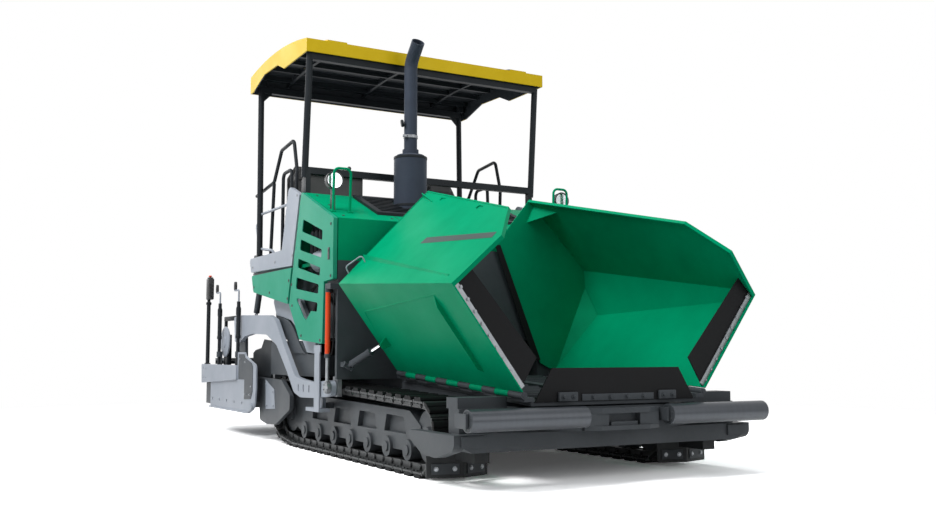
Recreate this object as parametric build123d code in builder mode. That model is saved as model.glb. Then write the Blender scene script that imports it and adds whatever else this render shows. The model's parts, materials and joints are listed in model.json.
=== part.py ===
"""Tracked asphalt paver: folded hopper wings in front, raised extending screed behind.

X points in the travel direction, Y to the machine's left and Z up. The origin lies on the
ground under the middle of the machine. All sizes are in millimetres. Pieces that come in
pairs are drawn on the left-hand side and mirrored.
"""
from build123d import *
from math import hypot, sqrt
import os

# ---------------------------------------------------------------- driving dimensions
HALF_WIDTH = 1275            # half of the transport width
FRONT_X = 3163               # foremost point, on the push rollers
REAR_X = -3163               # rearmost point, on the screed walkway
PIN_FIT = 0.3                # clearance between a pin and its bore
SEAT_GAP = 0.3               # gap where one piece rests on another
SWING_GAP = 8                # least gap beside a piece that moves

# crawler tracks
TRACK_Y = HALF_WIDTH - 309   # centre plane of a track
TRACK_WIDTH = 305
IDLER_X, IDLER_RADIUS = 2200, 275           # radius over the shoes
SPROCKET_X, SPROCKET_Z, SPROCKET_RADIUS = -660, 335, 300
FIRST_ROLLER_X, FIRST_ROLLER_RADIUS = -380, 120
TRACK_CHAIN_WIDTH = 190
TRACK_SHOE_DEPTH = 42        # shoe and pad together
TRACK_CHAIN_DEPTH = 85       # from pad face to the inside of the chain
SHOE_PITCH = 158
SHOE_LENGTH = 140
PAD_LENGTH = 104             # along the sloping ends of a pad
SHOE_PLATE = 14
ROLLER_RADIUS = 75
ROLLER_COUNT = 7
TRACK_FRAME_WIDTH = 120

# chassis
CHASSIS_HALF_WIDTH = HALF_WIDTH - 575
CHASSIS_BOTTOM, CHASSIS_TOP = 300, 560
CHASSIS_REAR_X = -1000
CROSSBEAM_FRONT_X = 2950
CROSSBEAM_REAR_X = 2700
CROSSBEAM_HALF_WIDTH = HALF_WIDTH - 45
CROSSBEAM_BOTTOM, CROSSBEAM_TOP = 230, 345
CROSSBEAM_CHAMFER = 130
UPPER_BEAM_HALF_WIDTH = CROSSBEAM_HALF_WIDTH - 80
MIDDLE_BEAM_TOP, UPPER_BEAM_TOP = 500, 570
TUNNEL_INNER_Y, TUNNEL_OUTER_Y = 50, 590
TUNNEL_FLOOR, TUNNEL_ROOF = 600, 960
TUNNEL_WALL = 20

# push rollers
PUSH_ROLLER_RADIUS = 70
PUSH_ROLLER_Z = 440
PUSH_ROLLER_INNER_Y, PUSH_ROLLER_OUTER_Y = 345, CROSSBEAM_HALF_WIDTH - 15
PUSH_ROLLER_X = FRONT_X - PUSH_ROLLER_RADIUS
PUSH_AXLE_RADIUS = 18
ROLLER_BRACKET = 18          # thickness of the plates that carry the rollers' axles
BEAM_BACK_X, BEAM_FACE_X = 2975, 3012
BEAM_PIVOT_X, BEAM_PIVOT_RADIUS = 2915, 22
HITCH_PIN_X, HITCH_PIN_RADIUS = 3038, 16      # vertical bore for a hitch pin

# hopper
HOPPER_REAR_X, HOPPER_FRONT_X = 1123, 3003
HOPPER_FALL = 0.0588         # the hopper falls this much per millimetre to the front
HINGE_Y, HINGE_Z = HALF_WIDTH - 525, 690     # wing hinge line at the rear
FOLD_Z = 1391                            # fold line at the rear, at half width
# corners of a wing, (x, inset from the fold, z)
TOP_REAR_CORNER = (HOPPER_REAR_X, 779, 2189)
TOP_FRONT_CORNER = (2840, 512, 1814)
BEAK_CORNER = (3090, 306, 1586)
# free edge of a wing's rear plate, (inset from the fold, z)
REAR_EDGE_TOP, REAR_EDGE_FOOT = (1120, 1774), (676, 764)
WING_PLATE = 10
WING_RIM, WING_RIM_WIDTH = 28, 12
HINGE_PIN_RADIUS = 12
HINGE_KNUCKLE_RADIUS = 24
HINGE_KNUCKLES = 11
HINGE_LEAF = 60              # the floor ends this far inside the hinge line
HOPPER_FLOOR_PLATE = 30
FLOOR_DROP = 40              # floor surface below the hinge axis
FLOOR_REAR_X = 1083
APRON_X = 2965               # rear face of the wing aprons
APRON_THICKNESS = 10
CENTRE_APRON_X = APRON_X + APRON_THICKNESS + SWING_GAP

# body
BODY_HALF_WIDTH = HALF_WIDTH - 40
COVER_THICKNESS = 35
HOOD_HALF_WIDTH = BODY_HALF_WIDTH - COVER_THICKNESS - SWING_GAP
HOOD_SHEET = 12
ENGINE_HALF_WIDTH = BODY_HALF_WIDTH - 135
BODY_FRONT_X = 896
BULKHEAD_PLATE = 40
HOOD_REAR_X, HOOD_REAR_Z, HOOD_FRONT_Z = 113, 2262, 1947
HOOD_BOTTOM = 1600
HOOD_LEDGE_X = 40            # the hood top is level from here to HOOD_REAR_X
HOOD_FOOT_X = -125           # foot of the dashboard wall
ENGINE_TOP_GAP = 62          # from the hood's top down to the engine bay
DECK_TOP = 1650
DECK_PLATE = 50
BODY_REAR_X = -950
DECK_REAR_X = -1400

# canopy
CANOPY_FRONT_X, CANOPY_REAR_X = 218, -1475
CANOPY_HALF_WIDTH = BODY_HALF_WIDTH + 8
CANOPY_CROWN_X, CANOPY_CROWN = -782, 3735
CANOPY_RADIUS = 4800         # of the roof's arch in side view
CANOPY_EDGE = CANOPY_CROWN - 223             # lower edge of the valance
CANOPY_SKIN = 12
CANOPY_LINING = 6

# tow arms and screed
TOW_X, TOW_Z = 800, 575
TOW_PIN_RADIUS = 25
ARM_OUTER_Y = HALF_WIDTH - 61
ARM_INNER_Y = ARM_OUTER_Y - 42            # the arms are 42 thick
SCREED_FRONT_X, SCREED_REAR_X = -1700, -2330
SCREED_HALF_WIDTH = HALF_WIDTH - 95
SCREED_BOTTOM, SCREED_TOP = 285, 700
EXTENSION_FRONT_X, EXTENSION_REAR_X = -2450, -3040
GATE_INNER_Y = HALF_WIDTH - 35
GATE_PLATE = 15
GATE_FRONT_X, GATE_REAR_X = -1060, -2745
AUGER_X, AUGER_Z, AUGER_RADIUS = -1350, 470, 175

# cylinders, left-hand side
WING_CYLINDER_FOOT = (950, HALF_WIDTH - 155, 745)
WING_CYLINDER_EYE = (1290, HALF_WIDTH - 294, 914)
WING_SWING_AXIS = (0.16007, 0.89576, 0.41471)          # at right angles to the cylinder at rest
LIFT_Y = ARM_INNER_Y - 42
LIFT_TOP, LIFT_EYE = (-1370, 1545), (-1560, 1090)      # (x, z) of its two pins


# ---------------------------------------------------------------- drawing helpers
def side_plate(points, y_from, y_to, mode=Mode.ADD):
    """Add a plate drawn in side view, corners (x, z), that reaches from y_from to y_to."""
    with BuildSketch(Plane.XZ.offset(-y_from)) as outline:
        with BuildLine():
            Polyline(*points, close=True)
        make_face()
    extrude(outline.sketch, amount=y_from - y_to, mode=mode)


def rounded_side_plate(points, y_from, y_to, mode=Mode.ADD):
    """Add a plate drawn in side view, corners (x, z, corner radius), from y_from to y_to."""
    with BuildSketch(Plane.XZ.offset(-y_from)) as outline:
        with BuildLine():
            FilletPolyline(*[corner[:2] for corner in points], radius=[corner[2] for corner in points],
                           close=True)
        make_face()
    extrude(outline.sketch, amount=y_from - y_to, mode=mode)


def front_plate(points, x_from, x_to, mode=Mode.ADD):
    """Add a plate drawn in front view, corners (y, z), that reaches from x_from to x_to."""
    with BuildSketch(Plane.YZ.offset(x_from)) as outline:
        with BuildLine():
            Polyline(*points, close=True)
        make_face()
    extrude(outline.sketch, amount=x_to - x_from, mode=mode)


def top_plate(points, z_from, z_to, mode=Mode.ADD):
    """Add a plate drawn in plan, corners (x, y), that reaches from z_from to z_to."""
    with BuildSketch(Plane.XY.offset(z_from)) as outline:
        with BuildLine():
            Polyline(*points, close=True)
        make_face()
    extrude(outline.sketch, amount=z_to - z_from, mode=mode)


def block(x, y, z, mode=Mode.ADD):
    """Add a box given by its two limits along each axis, in either order."""
    with Locations(((x[0] + x[1]) / 2, (y[0] + y[1]) / 2, (z[0] + z[1]) / 2)):
        Box(abs(x[1] - x[0]), abs(y[1] - y[0]), abs(z[1] - z[0]), mode=mode)


def bar(start, end, radius, mode=Mode.ADD):
    """Add a round bar between two points."""
    axis = Vector(*end) - Vector(*start)
    with BuildSketch(Plane(origin=start, z_dir=axis)) as section:
        Circle(radius)
    extrude(section.sketch, amount=axis.length, mode=mode)


def tube(points, radius, bend, bore=0):
    """Add a round tube, open if bored, along straight runs joined by arcs of the bend radius."""
    with BuildLine() as path:
        FilletPolyline(*points, radius=bend)
    with BuildSketch(Plane(origin=path.line @ 0, z_dir=path.line % 0)) as section:
        Circle(radius)
        if bore:
            Circle(bore, mode=Mode.SUBTRACT)
    sweep(section.sketch, path=path.line)


def panel(corners, thickness, mode=Mode.ADD):
    """Add a flat plate; seen from its thick side the corners run anticlockwise."""
    a, b, c = (Vector(*corner) for corner in corners[:3])
    face_plane = Plane(origin=a, x_dir=b - a, z_dir=(b - a).cross(c - a))
    flat = [face_plane.to_local_coords(Vector(*corner)) for corner in corners]
    with BuildSketch(face_plane) as outline:
        with BuildLine():
            Polyline(*[(point.X, point.Y) for point in flat], close=True)
        make_face()
    extrude(outline.sketch, amount=thickness, mode=mode)


def edge_strip(start, end, inner, width, thickness):
    """Add a strip along an edge, as wide as given towards the point inner, on the panel's thick side."""
    along = (Vector(*end) - Vector(*start)).normalized()
    reach = Vector(*inner) - Vector(*start)
    inward = (reach - along * reach.dot(along)).normalized() * width
    panel([start, end, tuple(Vector(*end) + inward), tuple(Vector(*start) + inward)], thickness)


def point_between(start, end, distance):
    """Point at a distance from start on the way to end."""
    way = (Vector(*end) - Vector(*start)).normalized()
    return tuple(Vector(*start) + way * distance)


def fall(x):
    """How far the hopper has dropped at x, counted from its rear."""
    return HOPPER_FALL * (x - HOPPER_REAR_X)


def floor_underside(x):
    """Height of the underside of the hopper floor at x."""
    return HINGE_Z - FLOOR_DROP - HOPPER_FLOOR_PLATE - fall(x)


def wing_section(x, along, inward):
    """Point (y, z) of the left wing's section at x, from the hinge along the lower panel and inwards."""
    rise, reach = FOLD_Z - HINGE_Z, HALF_WIDTH - HINGE_Y
    width = hypot(rise, reach)
    return (
        HINGE_Y + (along * reach - inward * rise) / width,
        HINGE_Z - fall(x) + (along * rise + inward * reach) / width,
    )


# ---------------------------------------------------------------- crawler tracks
def track_outline(inset, y):
    """Loop of the track in the plane y, drawn in by inset from the pad faces."""
    with BuildSketch(Plane.XZ.offset(-y)) as loop:
        for x, z, radius in (
            (IDLER_X, IDLER_RADIUS, IDLER_RADIUS),
            (SPROCKET_X, SPROCKET_Z, SPROCKET_RADIUS),
            (FIRST_ROLLER_X, FIRST_ROLLER_RADIUS, FIRST_ROLLER_RADIUS),
        ):
            with Locations((x, z)):
                Circle(radius - inset)
        make_hull()
    return loop.sketch


chain_inner_y = TRACK_Y - TRACK_CHAIN_WIDTH / 2
shoe_inner_y = TRACK_Y - TRACK_WIDTH / 2
shoe_outer_y = TRACK_Y + TRACK_WIDTH / 2
# half section of a shoe with its pad, (along the track, out of the plate's middle)
half_depth = TRACK_SHOE_DEPTH / 2
SHOE_SECTION = (
    (-SHOE_LENGTH / 2, -half_depth), (SHOE_LENGTH / 2, -half_depth),
    (SHOE_LENGTH / 2, SHOE_PLATE - half_depth),
    (PAD_LENGTH / 2, SHOE_PLATE - half_depth + 4), (PAD_LENGTH / 2 - 10, half_depth),
    (10 - PAD_LENGTH / 2, half_depth), (-PAD_LENGTH / 2, SHOE_PLATE - half_depth + 4),
    (-SHOE_LENGTH / 2, SHOE_PLATE - half_depth),
)

with BuildPart() as crawler_track_left:
    extrude(track_outline(half_depth, chain_inner_y), amount=-TRACK_CHAIN_WIDTH)
    extrude(track_outline(TRACK_CHAIN_DEPTH, chain_inner_y), amount=-TRACK_CHAIN_WIDTH, mode=Mode.SUBTRACT)
    shoe_line = track_outline(half_depth, shoe_inner_y).face().outer_wire()
    shoe_count = round(shoe_line.length / SHOE_PITCH)
    loop_middle = Vector((IDLER_X + SPROCKET_X) / 2, shoe_inner_y, IDLER_RADIUS)
    with BuildSketch(Plane.XZ.offset(-shoe_inner_y)) as shoes:
        for number in range(shoe_count):
            middle = shoe_line @ (number / shoe_count)
            along = shoe_line % (number / shoe_count)
            outward = Vector(-along.Z, 0, along.X)
            if outward.dot(middle - loop_middle) < 0:
                outward = outward * -1
            corners = [middle + along * run + outward * rise for run, rise in SHOE_SECTION]
            with BuildLine():
                Polyline(*[(corner.X, corner.Z) for corner in corners], close=True)
            make_face()
    extrude(shoes.sketch, amount=-TRACK_WIDTH)
    # nothing stands below the ground plane where the pads lie flat
    block((SPROCKET_X - 600, IDLER_X + 600), (0, HALF_WIDTH), (-60, 0), mode=Mode.SUBTRACT)

with BuildPart() as crawler_track_right:
    mirror(crawler_track_left.part, about=Plane.XZ)

# wheels and rollers inside the loop, carried by the track frame
idler_seat = IDLER_RADIUS - TRACK_CHAIN_DEPTH - SEAT_GAP
sprocket_seat = SPROCKET_RADIUS - TRACK_CHAIN_DEPTH - SEAT_GAP
frame_inner_y = TRACK_Y - TRACK_FRAME_WIDTH / 2
frame_outer_y = TRACK_Y + TRACK_FRAME_WIDTH / 2
WHEEL_INSET = 10             # wheels are narrower than the frame on each side
HUB_REACH = 22               # hubs and rollers stand out beside the frame
ROLLER_FIRST_X = -250
GUIDE_ARM_X = (300, 420)     # bracket that carries the guide of the tow arm
GUIDE_INNER_Y = ARM_INNER_Y - 37

with BuildPart() as track_frame_left:
    side_plate(
        [(-560, 200), (-420, 150), (1900, 150), (2080, 240), (2080, 340), (1900, 440), (-300, 480),
         (-560, 420)],
        frame_inner_y, frame_outer_y,
    )
    for x in (-100, 420, 940, 1460):
        side_plate([(x, 270), (x + 380, 270), (x + 340, 390), (x + 40, 395)], frame_outer_y - 40,
                   frame_outer_y + 1,
                   mode=Mode.SUBTRACT)
    for x, z, seat, hub in ((IDLER_X, IDLER_RADIUS, idler_seat, 70),
                            (SPROCKET_X, SPROCKET_Z, sprocket_seat, 110)):
        bar((x, frame_inner_y + WHEEL_INSET, z), (x, frame_outer_y - WHEEL_INSET, z), seat)
        bar((x, frame_outer_y - WHEEL_INSET - 1, z), (x, frame_outer_y + HUB_REACH, z), hub)
    roller_z = TRACK_CHAIN_DEPTH + SEAT_GAP + ROLLER_RADIUS
    roller_pitch = (IDLER_X - 300 - ROLLER_FIRST_X) / (ROLLER_COUNT - 1)
    for number in range(ROLLER_COUNT):
        x = ROLLER_FIRST_X + number * roller_pitch
        bar((x, frame_inner_y - HUB_REACH, roller_z), (x, frame_outer_y + HUB_REACH, roller_z),
            ROLLER_RADIUS)
        bar((x, frame_outer_y + HUB_REACH - 1, roller_z), (x, frame_outer_y + HUB_REACH + 10, roller_z),
            ROLLER_RADIUS / 2)
    # cross members that join the track frame to the chassis
    for x in (300, 1500):
        block((x - 110, x + 110), (CHASSIS_HALF_WIDTH, frame_inner_y), (CHASSIS_BOTTOM + 10, 440))
    block(GUIDE_ARM_X, (frame_outer_y - 1, GUIDE_INNER_Y), (385, 430))

with BuildPart() as track_frame_right:
    mirror(track_frame_left.part, about=Plane.XZ)

# ---------------------------------------------------------------- chassis
with BuildPart() as chassis_frame:
    side_plate(
        [
            (CHASSIS_REAR_X, CHASSIS_BOTTOM + 60), (CHASSIS_REAR_X + 200, CHASSIS_BOTTOM),
            (CROSSBEAM_REAR_X, CHASSIS_BOTTOM), (CROSSBEAM_REAR_X,
                                                 floor_underside(CROSSBEAM_REAR_X) - SEAT_GAP),
            (FLOOR_REAR_X, floor_underside(FLOOR_REAR_X) - SEAT_GAP), (FLOOR_REAR_X, CHASSIS_TOP),
            (CHASSIS_REAR_X, CHASSIS_TOP),
        ],
        -CHASSIS_HALF_WIDTH, CHASSIS_HALF_WIDTH,
    )
    # twin conveyor tunnel
    block((CHASSIS_REAR_X, HOPPER_REAR_X - 50), (-TUNNEL_OUTER_Y - TUNNEL_WALL,
                                                 TUNNEL_OUTER_Y + TUNNEL_WALL),
          (CHASSIS_TOP, TUNNEL_ROOF + TUNNEL_WALL))
    for side in (-1, 1):
        block((CHASSIS_REAR_X - 1, HOPPER_REAR_X), (side * TUNNEL_INNER_Y, side * TUNNEL_OUTER_Y),
              (TUNNEL_FLOOR, TUNNEL_ROOF), mode=Mode.SUBTRACT)

with BuildPart() as front_crossbeam:
    front_plate(
        [
            (-CROSSBEAM_HALF_WIDTH, CROSSBEAM_TOP), (-CROSSBEAM_HALF_WIDTH, CROSSBEAM_BOTTOM + 70),
            (-CROSSBEAM_HALF_WIDTH + CROSSBEAM_CHAMFER, CROSSBEAM_BOTTOM),
            (CROSSBEAM_HALF_WIDTH - CROSSBEAM_CHAMFER, CROSSBEAM_BOTTOM),
            (CROSSBEAM_HALF_WIDTH, CROSSBEAM_BOTTOM + 70), (CROSSBEAM_HALF_WIDTH, CROSSBEAM_TOP),
        ],
        CROSSBEAM_REAR_X + 80, CROSSBEAM_FRONT_X,
    )
    block((CROSSBEAM_REAR_X + 30, 2870), (-UPPER_BEAM_HALF_WIDTH, UPPER_BEAM_HALF_WIDTH),
          (CROSSBEAM_TOP, MIDDLE_BEAM_TOP))
    for side in (-1, 1):
        block((CROSSBEAM_REAR_X, 2850), (side * (HINGE_Y + 40), side * UPPER_BEAM_HALF_WIDTH),
              (MIDDLE_BEAM_TOP, UPPER_BEAM_TOP))
        # gusset beside the front of the track
        rounded_side_plate(
            [(2950, 344, 4), (2950, 250, 60), (2700, 186, 90), (2500, 200, 90), (2290, 300, 40),
             (2330, 344, 10)],
            side * (shoe_outer_y + 40), side * CROSSBEAM_HALF_WIDTH,
        )
        # step in front of it
        block((CROSSBEAM_FRONT_X - 1, CROSSBEAM_FRONT_X + 16),
              (side * (TRACK_Y + 44), side * (TRACK_Y + 214)), (262, CROSSBEAM_TOP - 10))
    block((CROSSBEAM_REAR_X, CROSSBEAM_REAR_X + 80), (50 - CHASSIS_HALF_WIDTH, CHASSIS_HALF_WIDTH - 50),
          (CHASSIS_BOTTOM, MIDDLE_BEAM_TOP))
    # pivot pin of the roller beam
    bar((BEAM_PIVOT_X, 0, CROSSBEAM_TOP), (BEAM_PIVOT_X, 0, 480), BEAM_PIVOT_RADIUS)

# ---------------------------------------------------------------- track deflectors
DEFLECTOR_PLATE = 14
DEFLECTOR_FOOT, DEFLECTOR_TOP = 35, 200
# plan of the bent plate, (x, y)
DEFLECTOR_PLAN = ((2507, TRACK_Y + 231), (2580, TRACK_Y - 12), (2507, TRACK_Y - 230))
with BuildPart() as track_deflectors:
    for outer, inner in zip(DEFLECTOR_PLAN, DEFLECTOR_PLAN[1:]):
        panel([(*outer, DEFLECTOR_FOOT), (*inner, DEFLECTOR_FOOT), (*inner, DEFLECTOR_TOP),
               (*outer, DEFLECTOR_TOP)],
              DEFLECTOR_PLATE)
    block((2530, CROSSBEAM_REAR_X + 120), (TRACK_Y - 66, TRACK_Y + 44), (150, CROSSBEAM_BOTTOM + 10))
    mirror(about=Plane.XZ)
    block((2400, 3000), (-HALF_WIDTH, HALF_WIDTH), (CROSSBEAM_BOTTOM, 400), mode=Mode.SUBTRACT)
    for side in (-1, 1):
        block((2280, 2960), (side * (shoe_outer_y + 39), side * HALF_WIDTH), (180, 400), mode=Mode.SUBTRACT)

# ---------------------------------------------------------------- push rollers
bracket_outer_y = CROSSBEAM_HALF_WIDTH + 10
bracket_inner_y = PUSH_ROLLER_INNER_Y - 27
with BuildPart() as roller_beam:
    beam_end_y = bracket_outer_y - 12
    front_plate(
        [(-beam_end_y, 400), (-300, 340), (300, 340), (beam_end_y, 400), (beam_end_y, 475), (300, 500),
         (-300, 500),
         (-beam_end_y, 475)],
        BEAM_BACK_X, BEAM_FACE_X,
    )
    block((BEAM_PIVOT_X - 30, 3060), (-110, 110), (CROSSBEAM_TOP + SEAT_GAP, 400))
    bar((BEAM_PIVOT_X, 0, CROSSBEAM_TOP), (BEAM_PIVOT_X, 0, 480), BEAM_PIVOT_RADIUS + PIN_FIT,
        mode=Mode.SUBTRACT)
    # coupling plates, round in front, with the bore for the hitch pin
    for low, high in ((345, 375), (455, 490)):
        top_plate([(BEAM_BACK_X, -310), (3040, -310), (3078, -200), (3078, 200), (3040, 310),
                   (BEAM_BACK_X, 310)], low, high)
    for side in (-1, 1):
        block((BEAM_BACK_X, 3062), (side * 130, side * 290), (374, 456))
        block((BEAM_BACK_X, PUSH_ROLLER_X + 25), (side * bracket_inner_y,
                                                  side * (bracket_inner_y + ROLLER_BRACKET)), (395, 485))
        block((BEAM_BACK_X, PUSH_ROLLER_X + 25), (side * (bracket_outer_y - ROLLER_BRACKET),
                                                  side * bracket_outer_y), (395, 485))
        bar((PUSH_ROLLER_X, side * (bracket_inner_y + 12), PUSH_ROLLER_Z),
            (PUSH_ROLLER_X, side * (bracket_outer_y - 4), PUSH_ROLLER_Z),
            PUSH_AXLE_RADIUS)
    bar((HITCH_PIN_X, 0, 340), (HITCH_PIN_X, 0, 495), HITCH_PIN_RADIUS, mode=Mode.SUBTRACT)

with BuildPart() as push_roller_left:
    roller_ends = ((PUSH_ROLLER_X, PUSH_ROLLER_INNER_Y, PUSH_ROLLER_Z),
                   (PUSH_ROLLER_X, PUSH_ROLLER_OUTER_Y, PUSH_ROLLER_Z))
    bar(*roller_ends, PUSH_ROLLER_RADIUS)
    # shallow turned recess in each end
    for y in (PUSH_ROLLER_INNER_Y, PUSH_ROLLER_OUTER_Y - 12):
        bar((PUSH_ROLLER_X, y, PUSH_ROLLER_Z), (PUSH_ROLLER_X, y + 12, PUSH_ROLLER_Z),
            PUSH_ROLLER_RADIUS - 14, mode=Mode.SUBTRACT)
    bar((PUSH_ROLLER_X, PUSH_ROLLER_INNER_Y + 4, PUSH_ROLLER_Z),
        (PUSH_ROLLER_X, PUSH_ROLLER_OUTER_Y - 4, PUSH_ROLLER_Z), 34)
    bar(*roller_ends, PUSH_AXLE_RADIUS + PIN_FIT, mode=Mode.SUBTRACT)

with BuildPart() as push_roller_right:
    mirror(push_roller_left.part, about=Plane.XZ)

# ---------------------------------------------------------------- hopper floor and bulkhead
def hinge_point(x):
    """Point of the left wing's hinge axis at x."""
    return (x, HINGE_Y, HINGE_Z - fall(x))


knuckle_length = (HOPPER_FRONT_X - HOPPER_REAR_X) / HINGE_KNUCKLES
KNUCKLE_GAP = 2
floor_half_width = HINGE_Y - HINGE_LEAF
FLIGHT_FIRST_X, FLIGHT_PITCH, FLIGHT_COUNT = 1190, 150, 12       # scraper bars of the conveyors
FLIGHT_HEIGHT, CHAIN_GUARD_HEIGHT = 14, 22


def floor_top(x):
    """Height of the upper side of the hopper floor at x."""
    return HINGE_Z - FLOOR_DROP - fall(x)


with BuildPart() as hopper_floor:
    front_x = CENTRE_APRON_X - SEAT_GAP
    side_plate(
        [
            (FLOOR_REAR_X, floor_underside(FLOOR_REAR_X)), (FLOOR_REAR_X, floor_top(FLOOR_REAR_X)),
            (front_x, floor_top(front_x)), (front_x, floor_underside(front_x)),
        ],
        -floor_half_width, floor_half_width,
    )
    # chain guard between the two conveyors, and their scraper bars
    guard_ends = (HOPPER_REAR_X + 30, HOPPER_FRONT_X - 60)
    side_plate(
        [(x, floor_top(x) - 1) for x in guard_ends]
        + [(x, floor_top(x) + CHAIN_GUARD_HEIGHT) for x in reversed(guard_ends)],
        -TUNNEL_INNER_Y, TUNNEL_INNER_Y,
    )
    for number in range(FLIGHT_COUNT):
        x = FLIGHT_FIRST_X + number * FLIGHT_PITCH
        side_plate(
            [
                (x, floor_top(x) - 1), (x + 30, floor_top(x + 30) - 1),
                (x + 26, floor_top(x) + FLIGHT_HEIGHT),
                (x + 4, floor_top(x) + FLIGHT_HEIGHT),
            ],
            TUNNEL_INNER_Y + 10, TUNNEL_OUTER_Y - 20,
        )
    for number in range(0, HINGE_KNUCKLES, 2):
        near = HOPPER_REAR_X + number * knuckle_length + KNUCKLE_GAP
        far = near + knuckle_length - 2 * KNUCKLE_GAP
        bar(hinge_point(near), hinge_point(far), HINGE_KNUCKLE_RADIUS)
        side_plate(
            [(x, hinge_point(x)[2] - FLOOR_DROP) for x in (near, far)]
            + [(x, hinge_point(x)[2] - HINGE_PIN_RADIUS) for x in (far, near)],
            floor_half_width - 10, HINGE_Y,
        )
    bar(hinge_point(HOPPER_REAR_X), hinge_point(HOPPER_FRONT_X), HINGE_PIN_RADIUS)
    mirror(about=Plane.XZ)

WING_TRUNNION_RADIUS, WING_TRUNNION_PIN_RADIUS = 20, 10
WING_TRUNNION_HALF, WING_EAR_INSIDE, WING_EAR_OUTSIDE = 22, 34, 46     # along the swing axis
WING_EAR_RADIUS = 24


def trunnion_point(reach, side=1):
    """Point on the swing axis of a wing cylinder, at a distance from the middle of its foot."""
    point = Vector(*WING_CYLINDER_FOOT) + Vector(*WING_SWING_AXIS) * reach
    return (point.X, side * point.Y, point.Z)


tunnel_top = TUNNEL_ROOF + TUNNEL_WALL
bulkhead_bottom = floor_top(FLOOR_REAR_X) + SEAT_GAP
bulkhead_rear_x = BODY_FRONT_X - BULKHEAD_PLATE
REAR_WALL_X = HOPPER_REAR_X - 48
REAR_WALL_HALF_WIDTH, REAR_WALL_TOP_HALF = HINGE_Y - 10, HINGE_Y - 270
BULKHEAD_FOOT = 640
with BuildPart() as hopper_bulkhead:
    front_plate(
        [
            (-REAR_WALL_HALF_WIDTH, bulkhead_bottom), (REAR_WALL_HALF_WIDTH, bulkhead_bottom),
            (REAR_WALL_HALF_WIDTH, 1000),
            (REAR_WALL_TOP_HALF, 1720), (-REAR_WALL_TOP_HALF, 1720), (-REAR_WALL_HALF_WIDTH, 1000),
        ],
        REAR_WALL_X, REAR_WALL_X + 20,
    )
    block((bulkhead_rear_x, BODY_FRONT_X), (-HOOD_HALF_WIDTH, HOOD_HALF_WIDTH),
          (BULKHEAD_FOOT, HOOD_BOTTOM))
    for side in (-1, 1):
        # two ears that carry the trunnion of the wing cylinder
        for end in (-1, 1):
            ear_inside, ear_outside = (trunnion_point(end * reach, side) for reach in (WING_EAR_INSIDE,
                WING_EAR_OUTSIDE))
            bar(ear_inside, ear_outside, WING_EAR_RADIUS)
            block((BODY_FRONT_X, ear_inside[0]), (ear_inside[1], ear_inside[1] + side * end * 12),
                  (ear_inside[2] - 20, ear_inside[2] + 20))
        bar(trunnion_point(-WING_EAR_OUTSIDE - 1, side), trunnion_point(WING_EAR_OUTSIDE + 1, side),
            WING_TRUNNION_PIN_RADIUS + PIN_FIT, mode=Mode.SUBTRACT)
    block((bulkhead_rear_x, REAR_WALL_X + 10), (-TUNNEL_OUTER_Y + 60, TUNNEL_OUTER_Y - 60),
          (tunnel_top, 1560))
    # notch round the tunnel, and its two mouths
    block((bulkhead_rear_x - 20, REAR_WALL_X), (-TUNNEL_OUTER_Y - TUNNEL_WALL,
                                                TUNNEL_OUTER_Y + TUNNEL_WALL),
          (TUNNEL_FLOOR, tunnel_top), mode=Mode.SUBTRACT)
    for side in (-1, 1):
        block((REAR_WALL_X - 12, HOPPER_REAR_X), (side * TUNNEL_INNER_Y, side * TUNNEL_OUTER_Y),
              (TUNNEL_FLOOR, TUNNEL_ROOF),
              mode=Mode.SUBTRACT)

# ---------------------------------------------------------------- hopper wings
SLOT_LENGTH, SLOT_WIDTH = 100, 34
SLOT_SET_IN = 52             # slots below the upper edge of a wing


def wing_corner(corner):
    """Point of the left wing from its x, its inset from the fold and its height."""
    return (corner[0], HALF_WIDTH - corner[1], corner[2])


fold_rear = (HOPPER_REAR_X, HALF_WIDTH, FOLD_Z)
fold_front = (HOPPER_FRONT_X, HALF_WIDTH, FOLD_Z - fall(HOPPER_FRONT_X))
beak, top_front, top_rear = (wing_corner(corner) for corner in (BEAK_CORNER, TOP_FRONT_CORNER,
    TOP_REAR_CORNER))
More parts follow.
